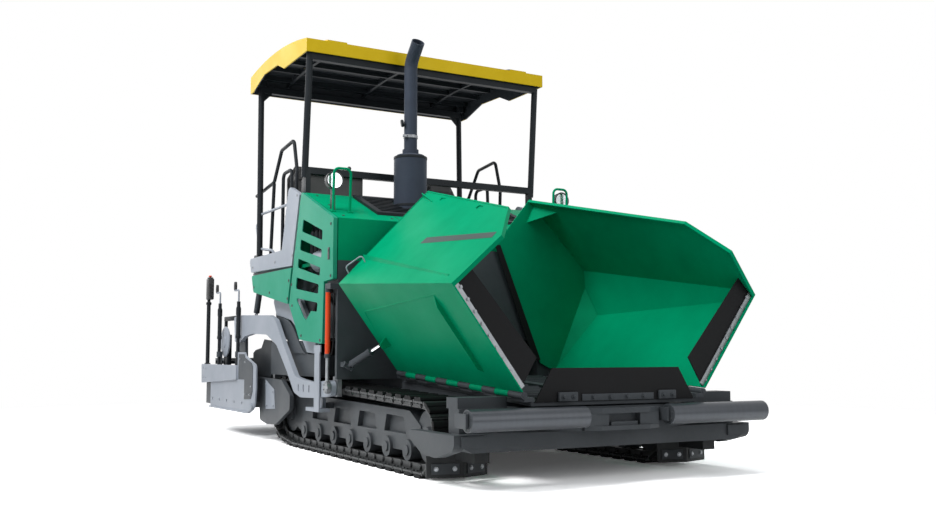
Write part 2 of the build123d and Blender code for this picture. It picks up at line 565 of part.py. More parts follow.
# plates inside the wing: a band over the fold, its foot at the rear, and a gusset on top;
# corners (x, inset from the fold, z)
INNER_PLATE = 8
LINER_REAR_X = HOPPER_REAR_X + WING_PLATE
FOLD_BAND = ((LINER_REAR_X, 211, 1630), (2870, 55, 1345), (2755, 54, 1229), (1284, 162, 1166),
             (LINER_REAR_X, 195, 1432))
REAR_GUSSET = ((LINER_REAR_X, 195, 1432), (1284, 162, 1166), (LINER_REAR_X, 498, 745))
TOP_GUSSET = ((LINER_REAR_X, 724, 2165), (1433, 665, 2054), (LINER_REAR_X, 811, 1984))
with BuildPart() as hopper_wing_left:
    panel([hinge_point(HOPPER_REAR_X), hinge_point(HOPPER_FRONT_X), fold_front, fold_rear], WING_PLATE)
    panel([fold_rear, fold_front, beak, top_front, top_rear], WING_PLATE)
    rear_edge = [(HALF_WIDTH - inset, z) for inset, z in (REAR_EDGE_TOP, REAR_EDGE_FOOT)]
    front_plate([(HINGE_Y, HINGE_Z), (HALF_WIDTH, FOLD_Z), top_rear[1:], *rear_edge],
                HOPPER_REAR_X, HOPPER_REAR_X + WING_PLATE)
    for plate in (FOLD_BAND, REAR_GUSSET, TOP_GUSSET):
        panel([wing_corner(corner) for corner in plate], INNER_PLATE)
    # rim along the free edges of the upper panel
    upper_edge = (fold_front, beak, top_front, top_rear)
    for start, end in zip(upper_edge, upper_edge[1:]):
        edge_strip(start, end, fold_rear, WING_RIM_WIDTH, WING_RIM)
    # slots for lifting gear in the upper panel
    edge_way = (Vector(*top_front) - Vector(*top_rear)).normalized()
    across_fold = (Vector(*fold_front) - Vector(*fold_rear)).cross(Vector(*beak) - Vector(*fold_rear))
    panel_normal = across_fold.normalized()
    edge_inward = panel_normal.cross(edge_way)
    if edge_inward.dot(Vector(*fold_rear) - Vector(*top_rear)) < 0:
        edge_inward = edge_inward * -1
    for reach in (500, 1330):
        slot_middle = Vector(*top_rear) + edge_way * reach + edge_inward * SLOT_SET_IN
        with BuildSketch(Plane(origin=slot_middle, x_dir=edge_way, z_dir=panel_normal)) as slot:
            SlotOverall(SLOT_LENGTH, SLOT_WIDTH)
        extrude(slot.sketch, amount=WING_PLATE + 2, both=True, mode=Mode.SUBTRACT)
    # knuckles of the hinge, bored for the pin; the plates keep clear of the fixed knuckles
    for number in range(0, HINGE_KNUCKLES, 2):
        x = HOPPER_REAR_X + number * knuckle_length
        bar(hinge_point(x - 2 * KNUCKLE_GAP), hinge_point(x + knuckle_length + 2 * KNUCKLE_GAP),
            HINGE_KNUCKLE_RADIUS + 6,
            mode=Mode.SUBTRACT)
    for number in range(1, HINGE_KNUCKLES, 2):
        near = HOPPER_REAR_X + number * knuckle_length + KNUCKLE_GAP
        bar(hinge_point(near), hinge_point(near + knuckle_length - 2 * KNUCKLE_GAP), HINGE_KNUCKLE_RADIUS)
    bar(hinge_point(HOPPER_REAR_X - 5), hinge_point(HOPPER_FRONT_X + 5), HINGE_PIN_RADIUS + PIN_FIT,
        mode=Mode.SUBTRACT)
    # lug beside the eye of the wing cylinder
    lug_x = WING_CYLINDER_EYE[0] + 42
    front_plate([wing_section(lug_x + 6, along, inward) for along,
                 inward in ((285, 3), (304, -70), (350, -70), (369, 3))],
                lug_x, lug_x + 12)
    # stiffening rib outside the lower panel, near its front
    rib_x = 2640
    front_plate([wing_section(rib_x, along, inward) for along,
                 inward in ((150, 2), (200, -30), (700, -30), (790, 2))],
                rib_x, rib_x + 14)

with BuildPart() as hopper_wing_right:
    mirror(hopper_wing_left.part, about=Plane.XZ)

# rubber aprons in front of the wings, clamped by steel strips
WING_APRON_SECTION = ((36, WING_PLATE + SEAT_GAP), (862, WING_PLATE + SEAT_GAP), (888, 181), (126, 233))
STRIP_SECTION = ((40, WING_PLATE + SEAT_GAP), (860, WING_PLATE + SEAT_GAP), (860, 48), (40, 48))
STRIP_THICKNESS = 8
with BuildPart() as wing_apron_left:
    front_plate([wing_section(APRON_X, along, inward) for along, inward in WING_APRON_SECTION],
                APRON_X, APRON_X + APRON_THICKNESS)

with BuildPart() as wing_apron_right:
    mirror(wing_apron_left.part, about=Plane.XZ)

with BuildPart() as apron_strip_left:
    strip_x = APRON_X + APRON_THICKNESS + SEAT_GAP
    front_plate([wing_section(APRON_X, along, inward) for along, inward in STRIP_SECTION], strip_x,
                strip_x + STRIP_THICKNESS)

with BuildPart() as apron_strip_right:
    mirror(apron_strip_left.part, about=Plane.XZ)

CENTRE_APRON_FOOT, CENTRE_APRON_HEAD = 534, 755
centre_apron_half = HINGE_Y - 85
with BuildPart() as centre_apron:
    front_plate(
        [
            (-centre_apron_half, CENTRE_APRON_FOOT), (centre_apron_half, CENTRE_APRON_FOOT),
            (centre_apron_half - 135, CENTRE_APRON_HEAD), (135 - centre_apron_half, CENTRE_APRON_HEAD),
        ],
        CENTRE_APRON_X, CENTRE_APRON_X + APRON_THICKNESS,
    )

# ---------------------------------------------------------------- body
hood_slope = (HOOD_REAR_Z - HOOD_FRONT_Z) / (BODY_FRONT_X - HOOD_REAR_X)
DOOR_EDGE_TOP, DOOR_EDGE_FOOT = (HOOD_REAR_X, HOOD_REAR_Z), (-174, 1283)
DOOR_HINGE_SETBACK = 16      # hinge axis behind the door's edge
DOOR_HINGE_Y = BODY_HALF_WIDTH - COVER_THICKNESS / 2
DOOR_KNUCKLE_RADIUS, DOOR_PIN_RADIUS = 13, 6
COVER_SETBACK = 46           # edge of the fixed covers behind the door's edge
cover_inner_y = BODY_HALF_WIDTH - COVER_THICKNESS


def hood_z(x):
    """Height of the hood's sloping top at x."""
    return HOOD_FRONT_Z + hood_slope * (BODY_FRONT_X - x)


def door_edge(z, setback=0):
    """Point (x, z) on the door's slanted rear edge, or on a line behind it."""
    (top_x, top_z), (foot_x, foot_z) = DOOR_EDGE_TOP, DOOR_EDGE_FOOT
    return (foot_x + (top_x - foot_x) * (z - foot_z) / (top_z - foot_z) - setback, z)


EXHAUST_X, EXHAUST_Y, MUFFLER_RADIUS = 350, -286, 150
MUFFLER_FOOT, MUFFLER_TOP = 2040, 2640
DOOR_HINGE_HEIGHTS = (1700, 2150)
engine_bottom = tunnel_top
engine_front_x = bulkhead_rear_x

with BuildPart() as engine_block:
    side_plate(
        [
            (BODY_REAR_X, engine_bottom), (engine_front_x, engine_bottom),
            (engine_front_x, HOOD_BOTTOM - SEAT_GAP),
            (engine_front_x - 60, HOOD_BOTTOM - SEAT_GAP),
            (engine_front_x - 60, hood_z(engine_front_x - 60) - ENGINE_TOP_GAP),
            (HOOD_REAR_X, hood_z(HOOD_REAR_X) - ENGINE_TOP_GAP),
            (HOOD_LEDGE_X + 40, hood_z(HOOD_REAR_X) - ENGINE_TOP_GAP),
            (HOOD_FOOT_X + 60, HOOD_BOTTOM - SEAT_GAP), (BODY_REAR_X, HOOD_BOTTOM - SEAT_GAP),
        ],
        -ENGINE_HALF_WIDTH, ENGINE_HALF_WIDTH,
    )
    # the muffler stands in a pocket
    bar((EXHAUST_X, EXHAUST_Y, MUFFLER_FOOT - SEAT_GAP), (EXHAUST_X, EXHAUST_Y, HOOD_REAR_Z),
        MUFFLER_RADIUS + 15,
        mode=Mode.SUBTRACT)

# opening in the hood's sides behind the slots of the doors, (x, z)
HOOD_WINDOW = ((-20, HOOD_BOTTOM + 30), (70, 2110), (140, 2185), (800, 1925), (800, HOOD_BOTTOM + 30))
with BuildPart() as hood:
    side_plate(
        [
            (HOOD_FOOT_X, HOOD_BOTTOM), (HOOD_LEDGE_X, HOOD_REAR_Z), (HOOD_REAR_X, HOOD_REAR_Z),
            (BODY_FRONT_X, HOOD_FRONT_Z), (BODY_FRONT_X, HOOD_BOTTOM),
        ],
        -HOOD_HALF_WIDTH, HOOD_HALF_WIDTH,
    )
    side_plate(
        [
            (HOOD_FOOT_X + HOOD_SHEET, HOOD_BOTTOM - 1),
            (HOOD_LEDGE_X + HOOD_SHEET, HOOD_REAR_Z - HOOD_SHEET),
            (HOOD_REAR_X, HOOD_REAR_Z - HOOD_SHEET), (BODY_FRONT_X - HOOD_SHEET, HOOD_FRONT_Z - HOOD_SHEET),
            (BODY_FRONT_X - HOOD_SHEET, HOOD_BOTTOM - 1),
        ],
        -HOOD_HALF_WIDTH + HOOD_SHEET, HOOD_HALF_WIDTH - HOOD_SHEET, mode=Mode.SUBTRACT,
    )
    side_plate(HOOD_WINDOW, -HOOD_HALF_WIDTH - 1, HOOD_HALF_WIDTH + 1, mode=Mode.SUBTRACT)
    for side in (-1, 1):
        # hinge pins of the side doors
        for z in DOOR_HINGE_HEIGHTS:
            low, high = door_edge(z - 60, DOOR_HINGE_SETBACK), door_edge(z + 60, DOOR_HINGE_SETBACK)
            bar((low[0], side * DOOR_HINGE_Y, low[1]), (high[0], side * DOOR_HINGE_Y, high[1]),
                DOOR_PIN_RADIUS)
            for end in (low, high):
                block((end[0] - 10, end[0] + 5), (side * (HOOD_HALF_WIDTH - 5), side * (DOOR_HINGE_Y + 8)),
                      (end[1] - 8, end[1] + 8))
    bar((EXHAUST_X, EXHAUST_Y, MUFFLER_FOOT), (EXHAUST_X, EXHAUST_Y, MUFFLER_TOP),
        MUFFLER_RADIUS + SEAT_GAP, mode=Mode.SUBTRACT)

# intake grille in the hood's top, slats across a frame
GRILLE_X, GRILLE_HALF_WIDTH = (160, 720), 770
GRILLE_DEPTH, GRILLE_BORDER = 26, 45
SLAT_COUNT, SLAT_WIDTH = 9, 26


def on_hood(x, rise):
    """Point (x, z) above the hood's sloping top."""
    return (x, hood_z(x) + rise)


with BuildPart() as radiator_grille:
    rear_x, front_x = GRILLE_X
    side_plate([on_hood(rear_x, SEAT_GAP), on_hood(front_x, SEAT_GAP), on_hood(front_x, GRILLE_DEPTH),
                on_hood(rear_x, GRILLE_DEPTH)],
               -GRILLE_HALF_WIDTH, GRILLE_HALF_WIDTH)
    # four fields between the ribs, open down to a backing sheet
    field = (GRILLE_HALF_WIDTH - GRILLE_BORDER) / 2
    for middle_y in (-1.5 * field, -0.5 * field, 0.5 * field, 1.5 * field):
        low, high = rear_x + GRILLE_BORDER, front_x - GRILLE_BORDER
        side_plate([on_hood(low, 6), on_hood(high, 6), on_hood(high, GRILLE_DEPTH + 1),
                    on_hood(low, GRILLE_DEPTH + 1)],
                   middle_y - field / 2 + 12, middle_y + field / 2 - 12, mode=Mode.SUBTRACT)
        for number in range(SLAT_COUNT):
            x = low + (number + 0.5) * (high - low) / SLAT_COUNT
            side_plate([on_hood(x - SLAT_WIDTH / 2, 10), on_hood(x + SLAT_WIDTH / 2 - 8, 10),
                        on_hood(x + SLAT_WIDTH / 2, GRILLE_DEPTH - 6),
                        on_hood(x - SLAT_WIDTH / 2 + 8, GRILLE_DEPTH - 6)],
                       middle_y - field / 2 + 11, middle_y + field / 2 - 11)
    bar((EXHAUST_X, EXHAUST_Y, MUFFLER_FOOT), (EXHAUST_X, EXHAUST_Y, MUFFLER_TOP), MUFFLER_RADIUS + 10,
        mode=Mode.SUBTRACT)

PIPE_RADIUS, PIPE_BORE = 60, 54
PIPE_TOP = 3500
with BuildPart() as exhaust:
    # muffler, its cone and the clamp round the pipe's foot as one turned body, (radius, z)
    with BuildSketch(Plane(origin=(EXHAUST_X, EXHAUST_Y, 0), x_dir=(1, 0, 0), z_dir=(0, -1, 0))):
        with BuildLine():
            Polyline(
                (0, MUFFLER_FOOT), (MUFFLER_RADIUS, MUFFLER_FOOT), (MUFFLER_RADIUS, MUFFLER_TOP - 30),
                (MUFFLER_RADIUS - 25, MUFFLER_TOP), (PIPE_RADIUS + 14, MUFFLER_TOP + 12),
                (PIPE_RADIUS + 14, MUFFLER_TOP + 52),
                (PIPE_RADIUS, MUFFLER_TOP + 52), (0, MUFFLER_TOP + 52), close=True,
            )
        make_face()
    revolve(axis=Axis((EXHAUST_X, EXHAUST_Y, 0), (0, 0, 1)))
    tube([(EXHAUST_X, EXHAUST_Y, MUFFLER_TOP + 51), (EXHAUST_X, EXHAUST_Y, PIPE_TOP),
          (EXHAUST_X + 150, EXHAUST_Y, PIPE_TOP + 160)],
         PIPE_RADIUS, 150, PIPE_BORE)

# covers beside the operator, set back from the doors
with BuildPart() as side_covers:
    rounded_side_plate(
        [
            (*door_edge(2255, COVER_SETBACK), 12), (-233, 2368, 60), (-405, 1794, 30), (-1418, 1795, 30),
            (-1356, 1655, 20),
            (*door_edge(1630, COVER_SETBACK), 8),
        ],
        cover_inner_y, BODY_HALF_WIDTH,
    )
    mirror(about=Plane.XZ)

with BuildPart() as rear_skirts:
    rounded_side_plate(
        [
            (-1339, 1618, 20), (*door_edge(1612, COVER_SETBACK), 8), (*door_edge(1290, COVER_SETBACK), 20),
            (-1267, 1452, 40),
        ],
        cover_inner_y, BODY_HALF_WIDTH,
    )
    mirror(about=Plane.XZ)

# silver covers and dark guards below them, beside the chassis
SIDE_BOX_TOP, SIDE_BOX_FOOT = 838, 645
lower_cover_y = ARM_INNER_Y - SWING_GAP
with BuildPart() as chassis_covers:
    rounded_side_plate(
        [
            (-923, 1338, 20), (-828, 1211, 60), (-613, 1184, 40), (-406, 1151, 60), (-244, 1075, 80),
            (-66, 945, 80), (32, 856, 50),
            (248, 844, 8), (248, tunnel_top, 8), (-174, 1283 + 60, 8), (-900, 1390, 8),
        ],
        ENGINE_HALF_WIDTH + SEAT_GAP, lower_cover_y - 30,
    )
    mirror(about=Plane.XZ)

with BuildPart() as side_guards:
    rounded_side_plate(
        [(-980, SIDE_BOX_FOOT, 20), (235, SIDE_BOX_FOOT, 20), (235, SIDE_BOX_TOP, 12),
         (60, SIDE_BOX_TOP, 12),
         (-130, SIDE_BOX_TOP + 122, 60), (-980, SIDE_BOX_TOP + 122, 20)],
        TUNNEL_OUTER_Y + TUNNEL_WALL + SEAT_GAP, lower_cover_y - 32,
    )
    mirror(about=Plane.XZ)

# ---------------------------------------------------------------- operator's place
LIFT_EAR_INSIDE, LIFT_EAR_PLATE = 30, 10     # ears beside the lift cylinder's upper eye
CONSOLE_Y = (BODY_HALF_WIDTH - 615, BODY_HALF_WIDTH - 85)
CONSOLE_X, CONSOLE_Z = (-130, 35), (2270, 2500)
SEAT_Y = BODY_HALF_WIDTH - 485
SEAT_HALF_WIDTH, SEAT_TOP = 250, 2150
ARMREST_REACH = 15           # armrests stand out this much beside the cushion

with BuildPart() as operator_platform:
    block((DECK_REAR_X, HOOD_FOOT_X), (-cover_inner_y, cover_inner_y), (DECK_TOP - DECK_PLATE, DECK_TOP))
    # upper brackets of the screed lift cylinders
    for side in (-1, 1):
        for ear_y in (LIFT_Y - LIFT_EAR_INSIDE - LIFT_EAR_PLATE, LIFT_Y + LIFT_EAR_INSIDE):
            rounded_side_plate(
                [
                    (LIFT_TOP[0] - 30, LIFT_TOP[1] - 30, 25), (LIFT_TOP[0] + 30, LIFT_TOP[1] - 30, 25),
                    (LIFT_TOP[0] + 30, DECK_TOP - DECK_PLATE, 2),
                    (LIFT_TOP[0] - 30, DECK_TOP - DECK_PLATE, 2),
                ],
                side * ear_y, side * (ear_y + LIFT_EAR_PLATE),
            )

with BuildPart() as control_console:
    console_inner, console_outer = CONSOLE_Y
    console_rear, console_front = CONSOLE_X
    console_foot, console_top = CONSOLE_Z
    # sloping desk on the right, with its pedestal
    side_plate(
        [(console_rear, console_foot), (console_front, console_foot), (console_front, console_top),
         (console_front - 50, console_top), (console_rear, console_top - 90)],
        -console_outer, -console_inner,
    )
    block((console_rear - 130, console_rear - 30), (-console_outer + 200, -console_outer + 330),
          (DECK_TOP, console_foot + 20))
    block((console_rear - 130, console_rear + 10), (-console_outer + 200, -console_outer + 330),
          (console_foot, console_foot + 20))

with BuildPart() as operator_seats:
    for side in (-1, 1):
        y = side * SEAT_Y
        # cushion, backrest and armrests as plain forms on a pedestal
        block((-1050, -550), (y - SEAT_HALF_WIDTH, y + SEAT_HALF_WIDTH), (SEAT_TOP - 100, SEAT_TOP))
        side_plate([(-1100, SEAT_TOP - 100), (-1020, SEAT_TOP - 100), (-1080, 2750), (-1150, 2750)],
                   y - SEAT_HALF_WIDTH + 10, y + SEAT_HALF_WIDTH - 10)
        bar((-800, y, DECK_TOP), (-800, y, SEAT_TOP - 90), 80)
        block((-1000, -600), (y - SEAT_HALF_WIDTH - ARMREST_REACH, y - SEAT_HALF_WIDTH + 5),
              (SEAT_TOP - 60, SEAT_TOP + 60))
        block((-1000, -600), (y + SEAT_HALF_WIDTH - 5, y + SEAT_HALF_WIDTH + ARMREST_REACH),
              (SEAT_TOP - 60, SEAT_TOP + 60))

# side doors, hinged on their slanted rear edge; corners (x, z, radius), slots (x, z)
DOOR_SHEET = 8
DOOR_OUTLINE = (
    (*DOOR_EDGE_TOP, 10), (BODY_FRONT_X, HOOD_FRONT_Z, 10), (BODY_FRONT_X, 1446, 8), (695, 1438, 8),
    (671, 924, 30), (110, 967, 60),
    (*DOOR_EDGE_FOOT, 20),
)
DOOR_POCKET = (
    (*door_edge(2080, -70), 20), (800, 1890, 20), (800, 1500, 20), (640, 1480, 20), (620, 985, 20),
    (135, 1020, 50),
    (*door_edge(1310, -60), 20),
)
DOOR_SLOTS = (
    ((172, 2014), (647, 1867), (643, 1784), (147, 1907)),
    ((115, 1844), (634, 1708), (625, 1639), (98, 1750)),
    ((58, 1679), (609, 1557), (592, 1489), (45, 1599)),
    ((20, 1514), (576, 1420), (559, 1342), (3, 1415)),
    ((-4, 1335), (555, 1268), (538, 1193), (397, 1205), (346, 1171), (277, 1130), (204, 1161), (101, 1252)),
)
with BuildPart() as side_door_left:
    rounded_side_plate(DOOR_OUTLINE, cover_inner_y, BODY_HALF_WIDTH)
    rounded_side_plate(DOOR_POCKET, cover_inner_y - 1, BODY_HALF_WIDTH - DOOR_SHEET, mode=Mode.SUBTRACT)
    # cooling slots with round corners
    for slot_corners in DOOR_SLOTS:
        rounded_side_plate([(*corner, 16) for corner in slot_corners], cover_inner_y, BODY_HALF_WIDTH + 1,
                           mode=Mode.SUBTRACT)
    for z in DOOR_HINGE_HEIGHTS:
        low, high = door_edge(z - 45, DOOR_HINGE_SETBACK), door_edge(z + 45, DOOR_HINGE_SETBACK)
        bar((low[0], DOOR_HINGE_Y, low[1]), (high[0], DOOR_HINGE_Y, high[1]), DOOR_KNUCKLE_RADIUS)
        side_plate([low, high, (high[0] + 30, high[1]), (low[0] + 30, low[1])], DOOR_HINGE_Y - 5,
                   DOOR_HINGE_Y + 5)
        low, high = door_edge(z - 60, DOOR_HINGE_SETBACK), door_edge(z + 60, DOOR_HINGE_SETBACK)
        bar((low[0], DOOR_HINGE_Y, low[1]), (high[0], DOOR_HINGE_Y, high[1]), DOOR_PIN_RADIUS + PIN_FIT,
            mode=Mode.SUBTRACT)

with BuildPart() as side_door_right:
    mirror(side_door_left.part, about=Plane.XZ)

# ---------------------------------------------------------------- canopy
def roof_z(x, drop=0):
    """Height of the arched roof at x, lowered by drop."""
    radius = CANOPY_RADIUS - drop
    return CANOPY_CROWN - drop - radius + sqrt(radius**2 - (x - CANOPY_CROWN_X) ** 2)


def roof_arch(drop, inset, foot, y_from, y_to, mode=Mode.ADD):
    """Add all that lies under the arch lowered by drop and above foot, its ends drawn in by inset."""
    front, rear = CANOPY_FRONT_X - inset, CANOPY_REAR_X + inset
    with BuildSketch(Plane.XZ.offset(-y_from)) as profile:
        with BuildLine():
            ThreePointArc((front, roof_z(front, drop)), (CANOPY_CROWN_X, CANOPY_CROWN - drop),
                          (rear, roof_z(rear, drop)))
            Polyline((rear, roof_z(rear, drop)), (rear, foot), (front, foot), (front, roof_z(front, drop)))
        make_face()
    extrude(profile.sketch, amount=y_from - y_to, mode=mode)


# the valance is cut up to an arch along each side, (x, rise above its edge, radius)
VALANCE_CUT = ((-265, -62, 5), (-609, 84, 70), (-1000, 94, 90), (-1588, -62, 5))
RIDGE_Y, RIDGE_HEIGHT = (CANOPY_HALF_WIDTH - 382, CANOPY_HALF_WIDTH - 195), 12
with BuildPart() as canopy_roof:
    roof_arch(0, 0, CANOPY_EDGE, -CANOPY_HALF_WIDTH, CANOPY_HALF_WIDTH)
    for side in (-1, 1):
        inner, outer = sorted(side * y for y in RIDGE_Y)
        roof_arch(-RIDGE_HEIGHT, 0, CANOPY_EDGE, inner, outer)
    roof_arch(CANOPY_SKIN, CANOPY_SKIN, CANOPY_EDGE - 1, -CANOPY_HALF_WIDTH + CANOPY_SKIN,
              CANOPY_HALF_WIDTH - CANOPY_SKIN,
              mode=Mode.SUBTRACT)
    rounded_side_plate([(x, CANOPY_EDGE + rise, radius) for x, rise, radius in VALANCE_CUT],
                       -CANOPY_HALF_WIDTH - 1, CANOPY_HALF_WIDTH + 1, mode=Mode.SUBTRACT)

lining_drop = CANOPY_SKIN + SEAT_GAP
lining_half_width = CANOPY_HALF_WIDTH - CANOPY_SKIN - SEAT_GAP
LINING_FOOT = CANOPY_CROWN - 335             # below all that hangs from the roof
RIB_DEPTH, RIB_THICKNESS = 50, 30
with BuildPart() as canopy_lining:
    roof_arch(lining_drop, lining_drop, LINING_FOOT, -lining_half_width, lining_half_width)
    roof_arch(lining_drop + CANOPY_LINING, 0, LINING_FOOT - 1, -CANOPY_HALF_WIDTH, CANOPY_HALF_WIDTH,
              mode=Mode.SUBTRACT)
    for rib_x in (-1330, -1060, -780, -500, -220, 60):
        block((rib_x, rib_x + RIB_THICKNESS), (-lining_half_width + 30, lining_half_width - 30),
              (roof_z(rib_x, lining_drop) - RIB_DEPTH, CANOPY_CROWN))
    for rib_y in (-RIDGE_Y[0], -RIB_THICKNESS / 2, RIDGE_Y[0] - RIB_THICKNESS):
        roof_arch(lining_drop, lining_drop, LINING_FOOT, rib_y, rib_y + RIB_THICKNESS)
        roof_arch(lining_drop + RIB_DEPTH, 0, LINING_FOOT - 1, rib_y - 1, rib_y + RIB_THICKNESS + 1,
                  mode=Mode.SUBTRACT)
    roof_arch(lining_drop, lining_drop, LINING_FOOT, -lining_half_width, lining_half_width,
              mode=Mode.INTERSECT)

POST_Y, REAR_POST_Y = BODY_HALF_WIDTH - 45, BODY_HALF_WIDTH - 80
POST_RADIUS = 30
POST_HEAD = CANOPY_CROWN - 135
FRONT_POST, REAR_POST = ((62, 2409), (160, POST_HEAD)), ((-1345, 1800),
                                                         (-1390, POST_HEAD))     # (x, z) of foot and head
with BuildPart() as canopy_posts:
    for post_y, (foot, head) in ((POST_Y, FRONT_POST), (REAR_POST_Y, REAR_POST)):
        bar((foot[0], post_y, foot[1]), (head[0], post_y, head[1]), POST_RADIUS)
        block((head[0] - 50, head[0] + 50), (post_y - 40, post_y + 40), (head[1] - 20, CANOPY_CROWN))
    block((CONSOLE_X[1] + 3, 95), (POST_Y - 45, POST_Y), (HOOD_REAR_Z, 2470))
    block((-1398, -1290), (REAR_POST_Y - 40, REAR_POST_Y + 40), (DECK_TOP, 1830))
    mirror(about=Plane.XZ)
    # beams under the roof, gussets at the rear posts, and the rail behind the hood
    block((125, 185), (-POST_Y, POST_Y), (CANOPY_EDGE - 57, CANOPY_EDGE + 8))
    block((-1415, -1360), (-REAR_POST_Y, REAR_POST_Y), (CANOPY_EDGE + 5, CANOPY_EDGE + 74))
    for side in (-1, 1):
        front_plate([(side * REAR_POST_Y, CANOPY_EDGE - 112),
                     (side * (REAR_POST_Y - 120), CANOPY_EDGE + 10),
                     (side * REAR_POST_Y, CANOPY_EDGE + 10)],
                    -1396, -1380)
    block((CONSOLE_X[1] + 3, 95), (-POST_Y, POST_Y), (2440, 2500))
    post_drop = lining_drop + CANOPY_LINING + SEAT_GAP
    roof_arch(post_drop, post_drop, DECK_TOP, -CANOPY_HALF_WIDTH, CANOPY_HALF_WIDTH, mode=Mode.INTERSECT)

RAIL_RADIUS, RAIL_BEND = 17, 60
RAIL_Y = REAR_POST_Y - POST_RADIUS - RAIL_RADIUS - 3
# routes of the rails on both sides, (x, inset from the rail plane, z)
RAIL_ROUTES = (
    ((-1640, 0, 2480), (-1065, 0, 2541), (-847, 0, 2821), (-486, 0, 2857), (-382, 0, 2538),
     (-430, 0, DECK_TOP - 20)),
    ((-1065, 0, 2530), (-1100, 0, 2200), (-1160, 0, DECK_TOP - 20)),
    ((-860, 25, DECK_TOP - 20), (-859, 25, 2592), (-609, 25, 2600), (-560, 25, DECK_TOP - 20)),
)
with BuildPart() as handrails:
    for route in RAIL_ROUTES:
        tube([(x, RAIL_Y - inset, z) for x, inset, z in route], RAIL_RADIUS, RAIL_BEND)
    mirror(about=Plane.XZ)
    block((-1800, 200), (-HALF_WIDTH, HALF_WIDTH), (DECK_TOP - 100, DECK_TOP), mode=Mode.SUBTRACT)

LAMP_X, LAMP_Z = 600, 2290
LAMP_Y = BODY_HALF_WIDTH - 90
with BuildPart() as headlamps:
    # round housing that narrows to the rear, on a foot, (radius, x)
    with BuildSketch(Plane(origin=(0, LAMP_Y, LAMP_Z), x_dir=(1, 0, 0), z_dir=(0, -1, 0))):
        with BuildLine():
            Polyline((LAMP_X, 0), (LAMP_X, 40), (LAMP_X + 30, 72), (LAMP_X + 90, 78), (LAMP_X + 90, 66),
                     (LAMP_X + 80, 62),
                     (LAMP_X + 80, 0), close=True)
        make_face()
    revolve(axis=Axis((0, LAMP_Y, LAMP_Z), (1, 0, 0)))
    side_plate([on_hood(LAMP_X + 20, SEAT_GAP), on_hood(LAMP_X + 60, SEAT_GAP), (LAMP_X + 60, LAMP_Z),
                (LAMP_X + 20, LAMP_Z)],
               LAMP_Y - 15, LAMP_Y + 15)
    mirror(about=Plane.XZ)

GUARD_X, GUARD_RADIUS = LAMP_X + 112, 11
GUARD_TOP, GUARD_LEAN = 2385, 20
GUARD_LEGS_Y = (BODY_HALF_WIDTH - 215, HOOD_HALF_WIDTH - 22)
with BuildPart() as lamp_guards:
    # bent tube in front of each lamp, its two feet on the hood
    inner, outer = GUARD_LEGS_Y
    foot_z = hood_z(GUARD_X) + 8
    tube([(GUARD_X, inner, foot_z), (GUARD_X + GUARD_LEAN, inner, GUARD_TOP),
          (GUARD_X + GUARD_LEAN, outer, GUARD_TOP),
          (GUARD_X, outer, foot_z)], GUARD_RADIUS, 45)
    for y in GUARD_LEGS_Y:
        side_plate([on_hood(GUARD_X - 20, SEAT_GAP), on_hood(GUARD_X + 20, SEAT_GAP),
                    on_hood(GUARD_X + 20, 12), on_hood(GUARD_X - 20, 12)],
                   y - 20, y + 20)
    mirror(about=Plane.XZ)

# ---------------------------------------------------------------- tow points and levelling cylinders
LEVELLING_Y = HALF_WIDTH - 39
LEVELLING_BARREL_RADIUS, LEVELLING_ROD_RADIUS = 21, 15
LEVELLING_FOOT, LEVELLING_HEAD = 810, 1376
LEVELLING_BRACKET = 45
TOW_BLOCK_Y = (ARM_INNER_Y - 44, ARM_INNER_Y - 6)
TOW_BLOCK_X, TOW_BLOCK_Z = (TOW_X - 50, TOW_X + 48), (TOW_Z - 75, TOW_Z + 85)
TOW_DISC_Y = ARM_OUTER_Y + 6
with BuildPart() as levelling_cylinders:
    # barrel with thicker ends as one turned body, (radius, z)
    bore, foot, head = LEVELLING_ROD_RADIUS + PIN_FIT, LEVELLING_FOOT, LEVELLING_HEAD
    thick = LEVELLING_BARREL_RADIUS + 3
    with BuildSketch(Plane(origin=(TOW_X, LEVELLING_Y, 0), x_dir=(1, 0, 0), z_dir=(0, -1, 0))):
        with BuildLine():
            Polyline(
                (bore, foot), (thick, foot), (thick, foot + 30), (LEVELLING_BARREL_RADIUS, foot + 34),
                (LEVELLING_BARREL_RADIUS, head - 34), (thick, head - 30), (thick, head), (0, head),
                (0, foot + 150), (bore, foot + 150), close=True,
            )
        make_face()
    revolve(axis=Axis((TOW_X, LEVELLING_Y, 0), (0, 0, 1)))
    # head bracket on the side of the bulkhead
    block((TOW_X - thick, BODY_FRONT_X), (HOOD_HALF_WIDTH + SEAT_GAP, LEVELLING_Y + 18),
          (head - 10, head - 10 + LEVELLING_BRACKET))
    mirror(about=Plane.XZ)

with BuildPart() as tow_points:
    block(TOW_BLOCK_X, TOW_BLOCK_Y, TOW_BLOCK_Z)
    bar((TOW_X, TOW_BLOCK_Y[0] + 12, TOW_Z), (TOW_X, LEVELLING_Y, TOW_Z), TOW_PIN_RADIUS)
    bar((TOW_X, TOW_DISC_Y, TOW_Z), (TOW_X, LEVELLING_Y + LEVELLING_ROD_RADIUS, TOW_Z), 2 * TOW_PIN_RADIUS)
    bar((TOW_X, LEVELLING_Y, TOW_Z), (TOW_X, LEVELLING_Y, LEVELLING_FOOT + 90), LEVELLING_ROD_RADIUS)
    mirror(about=Plane.XZ)

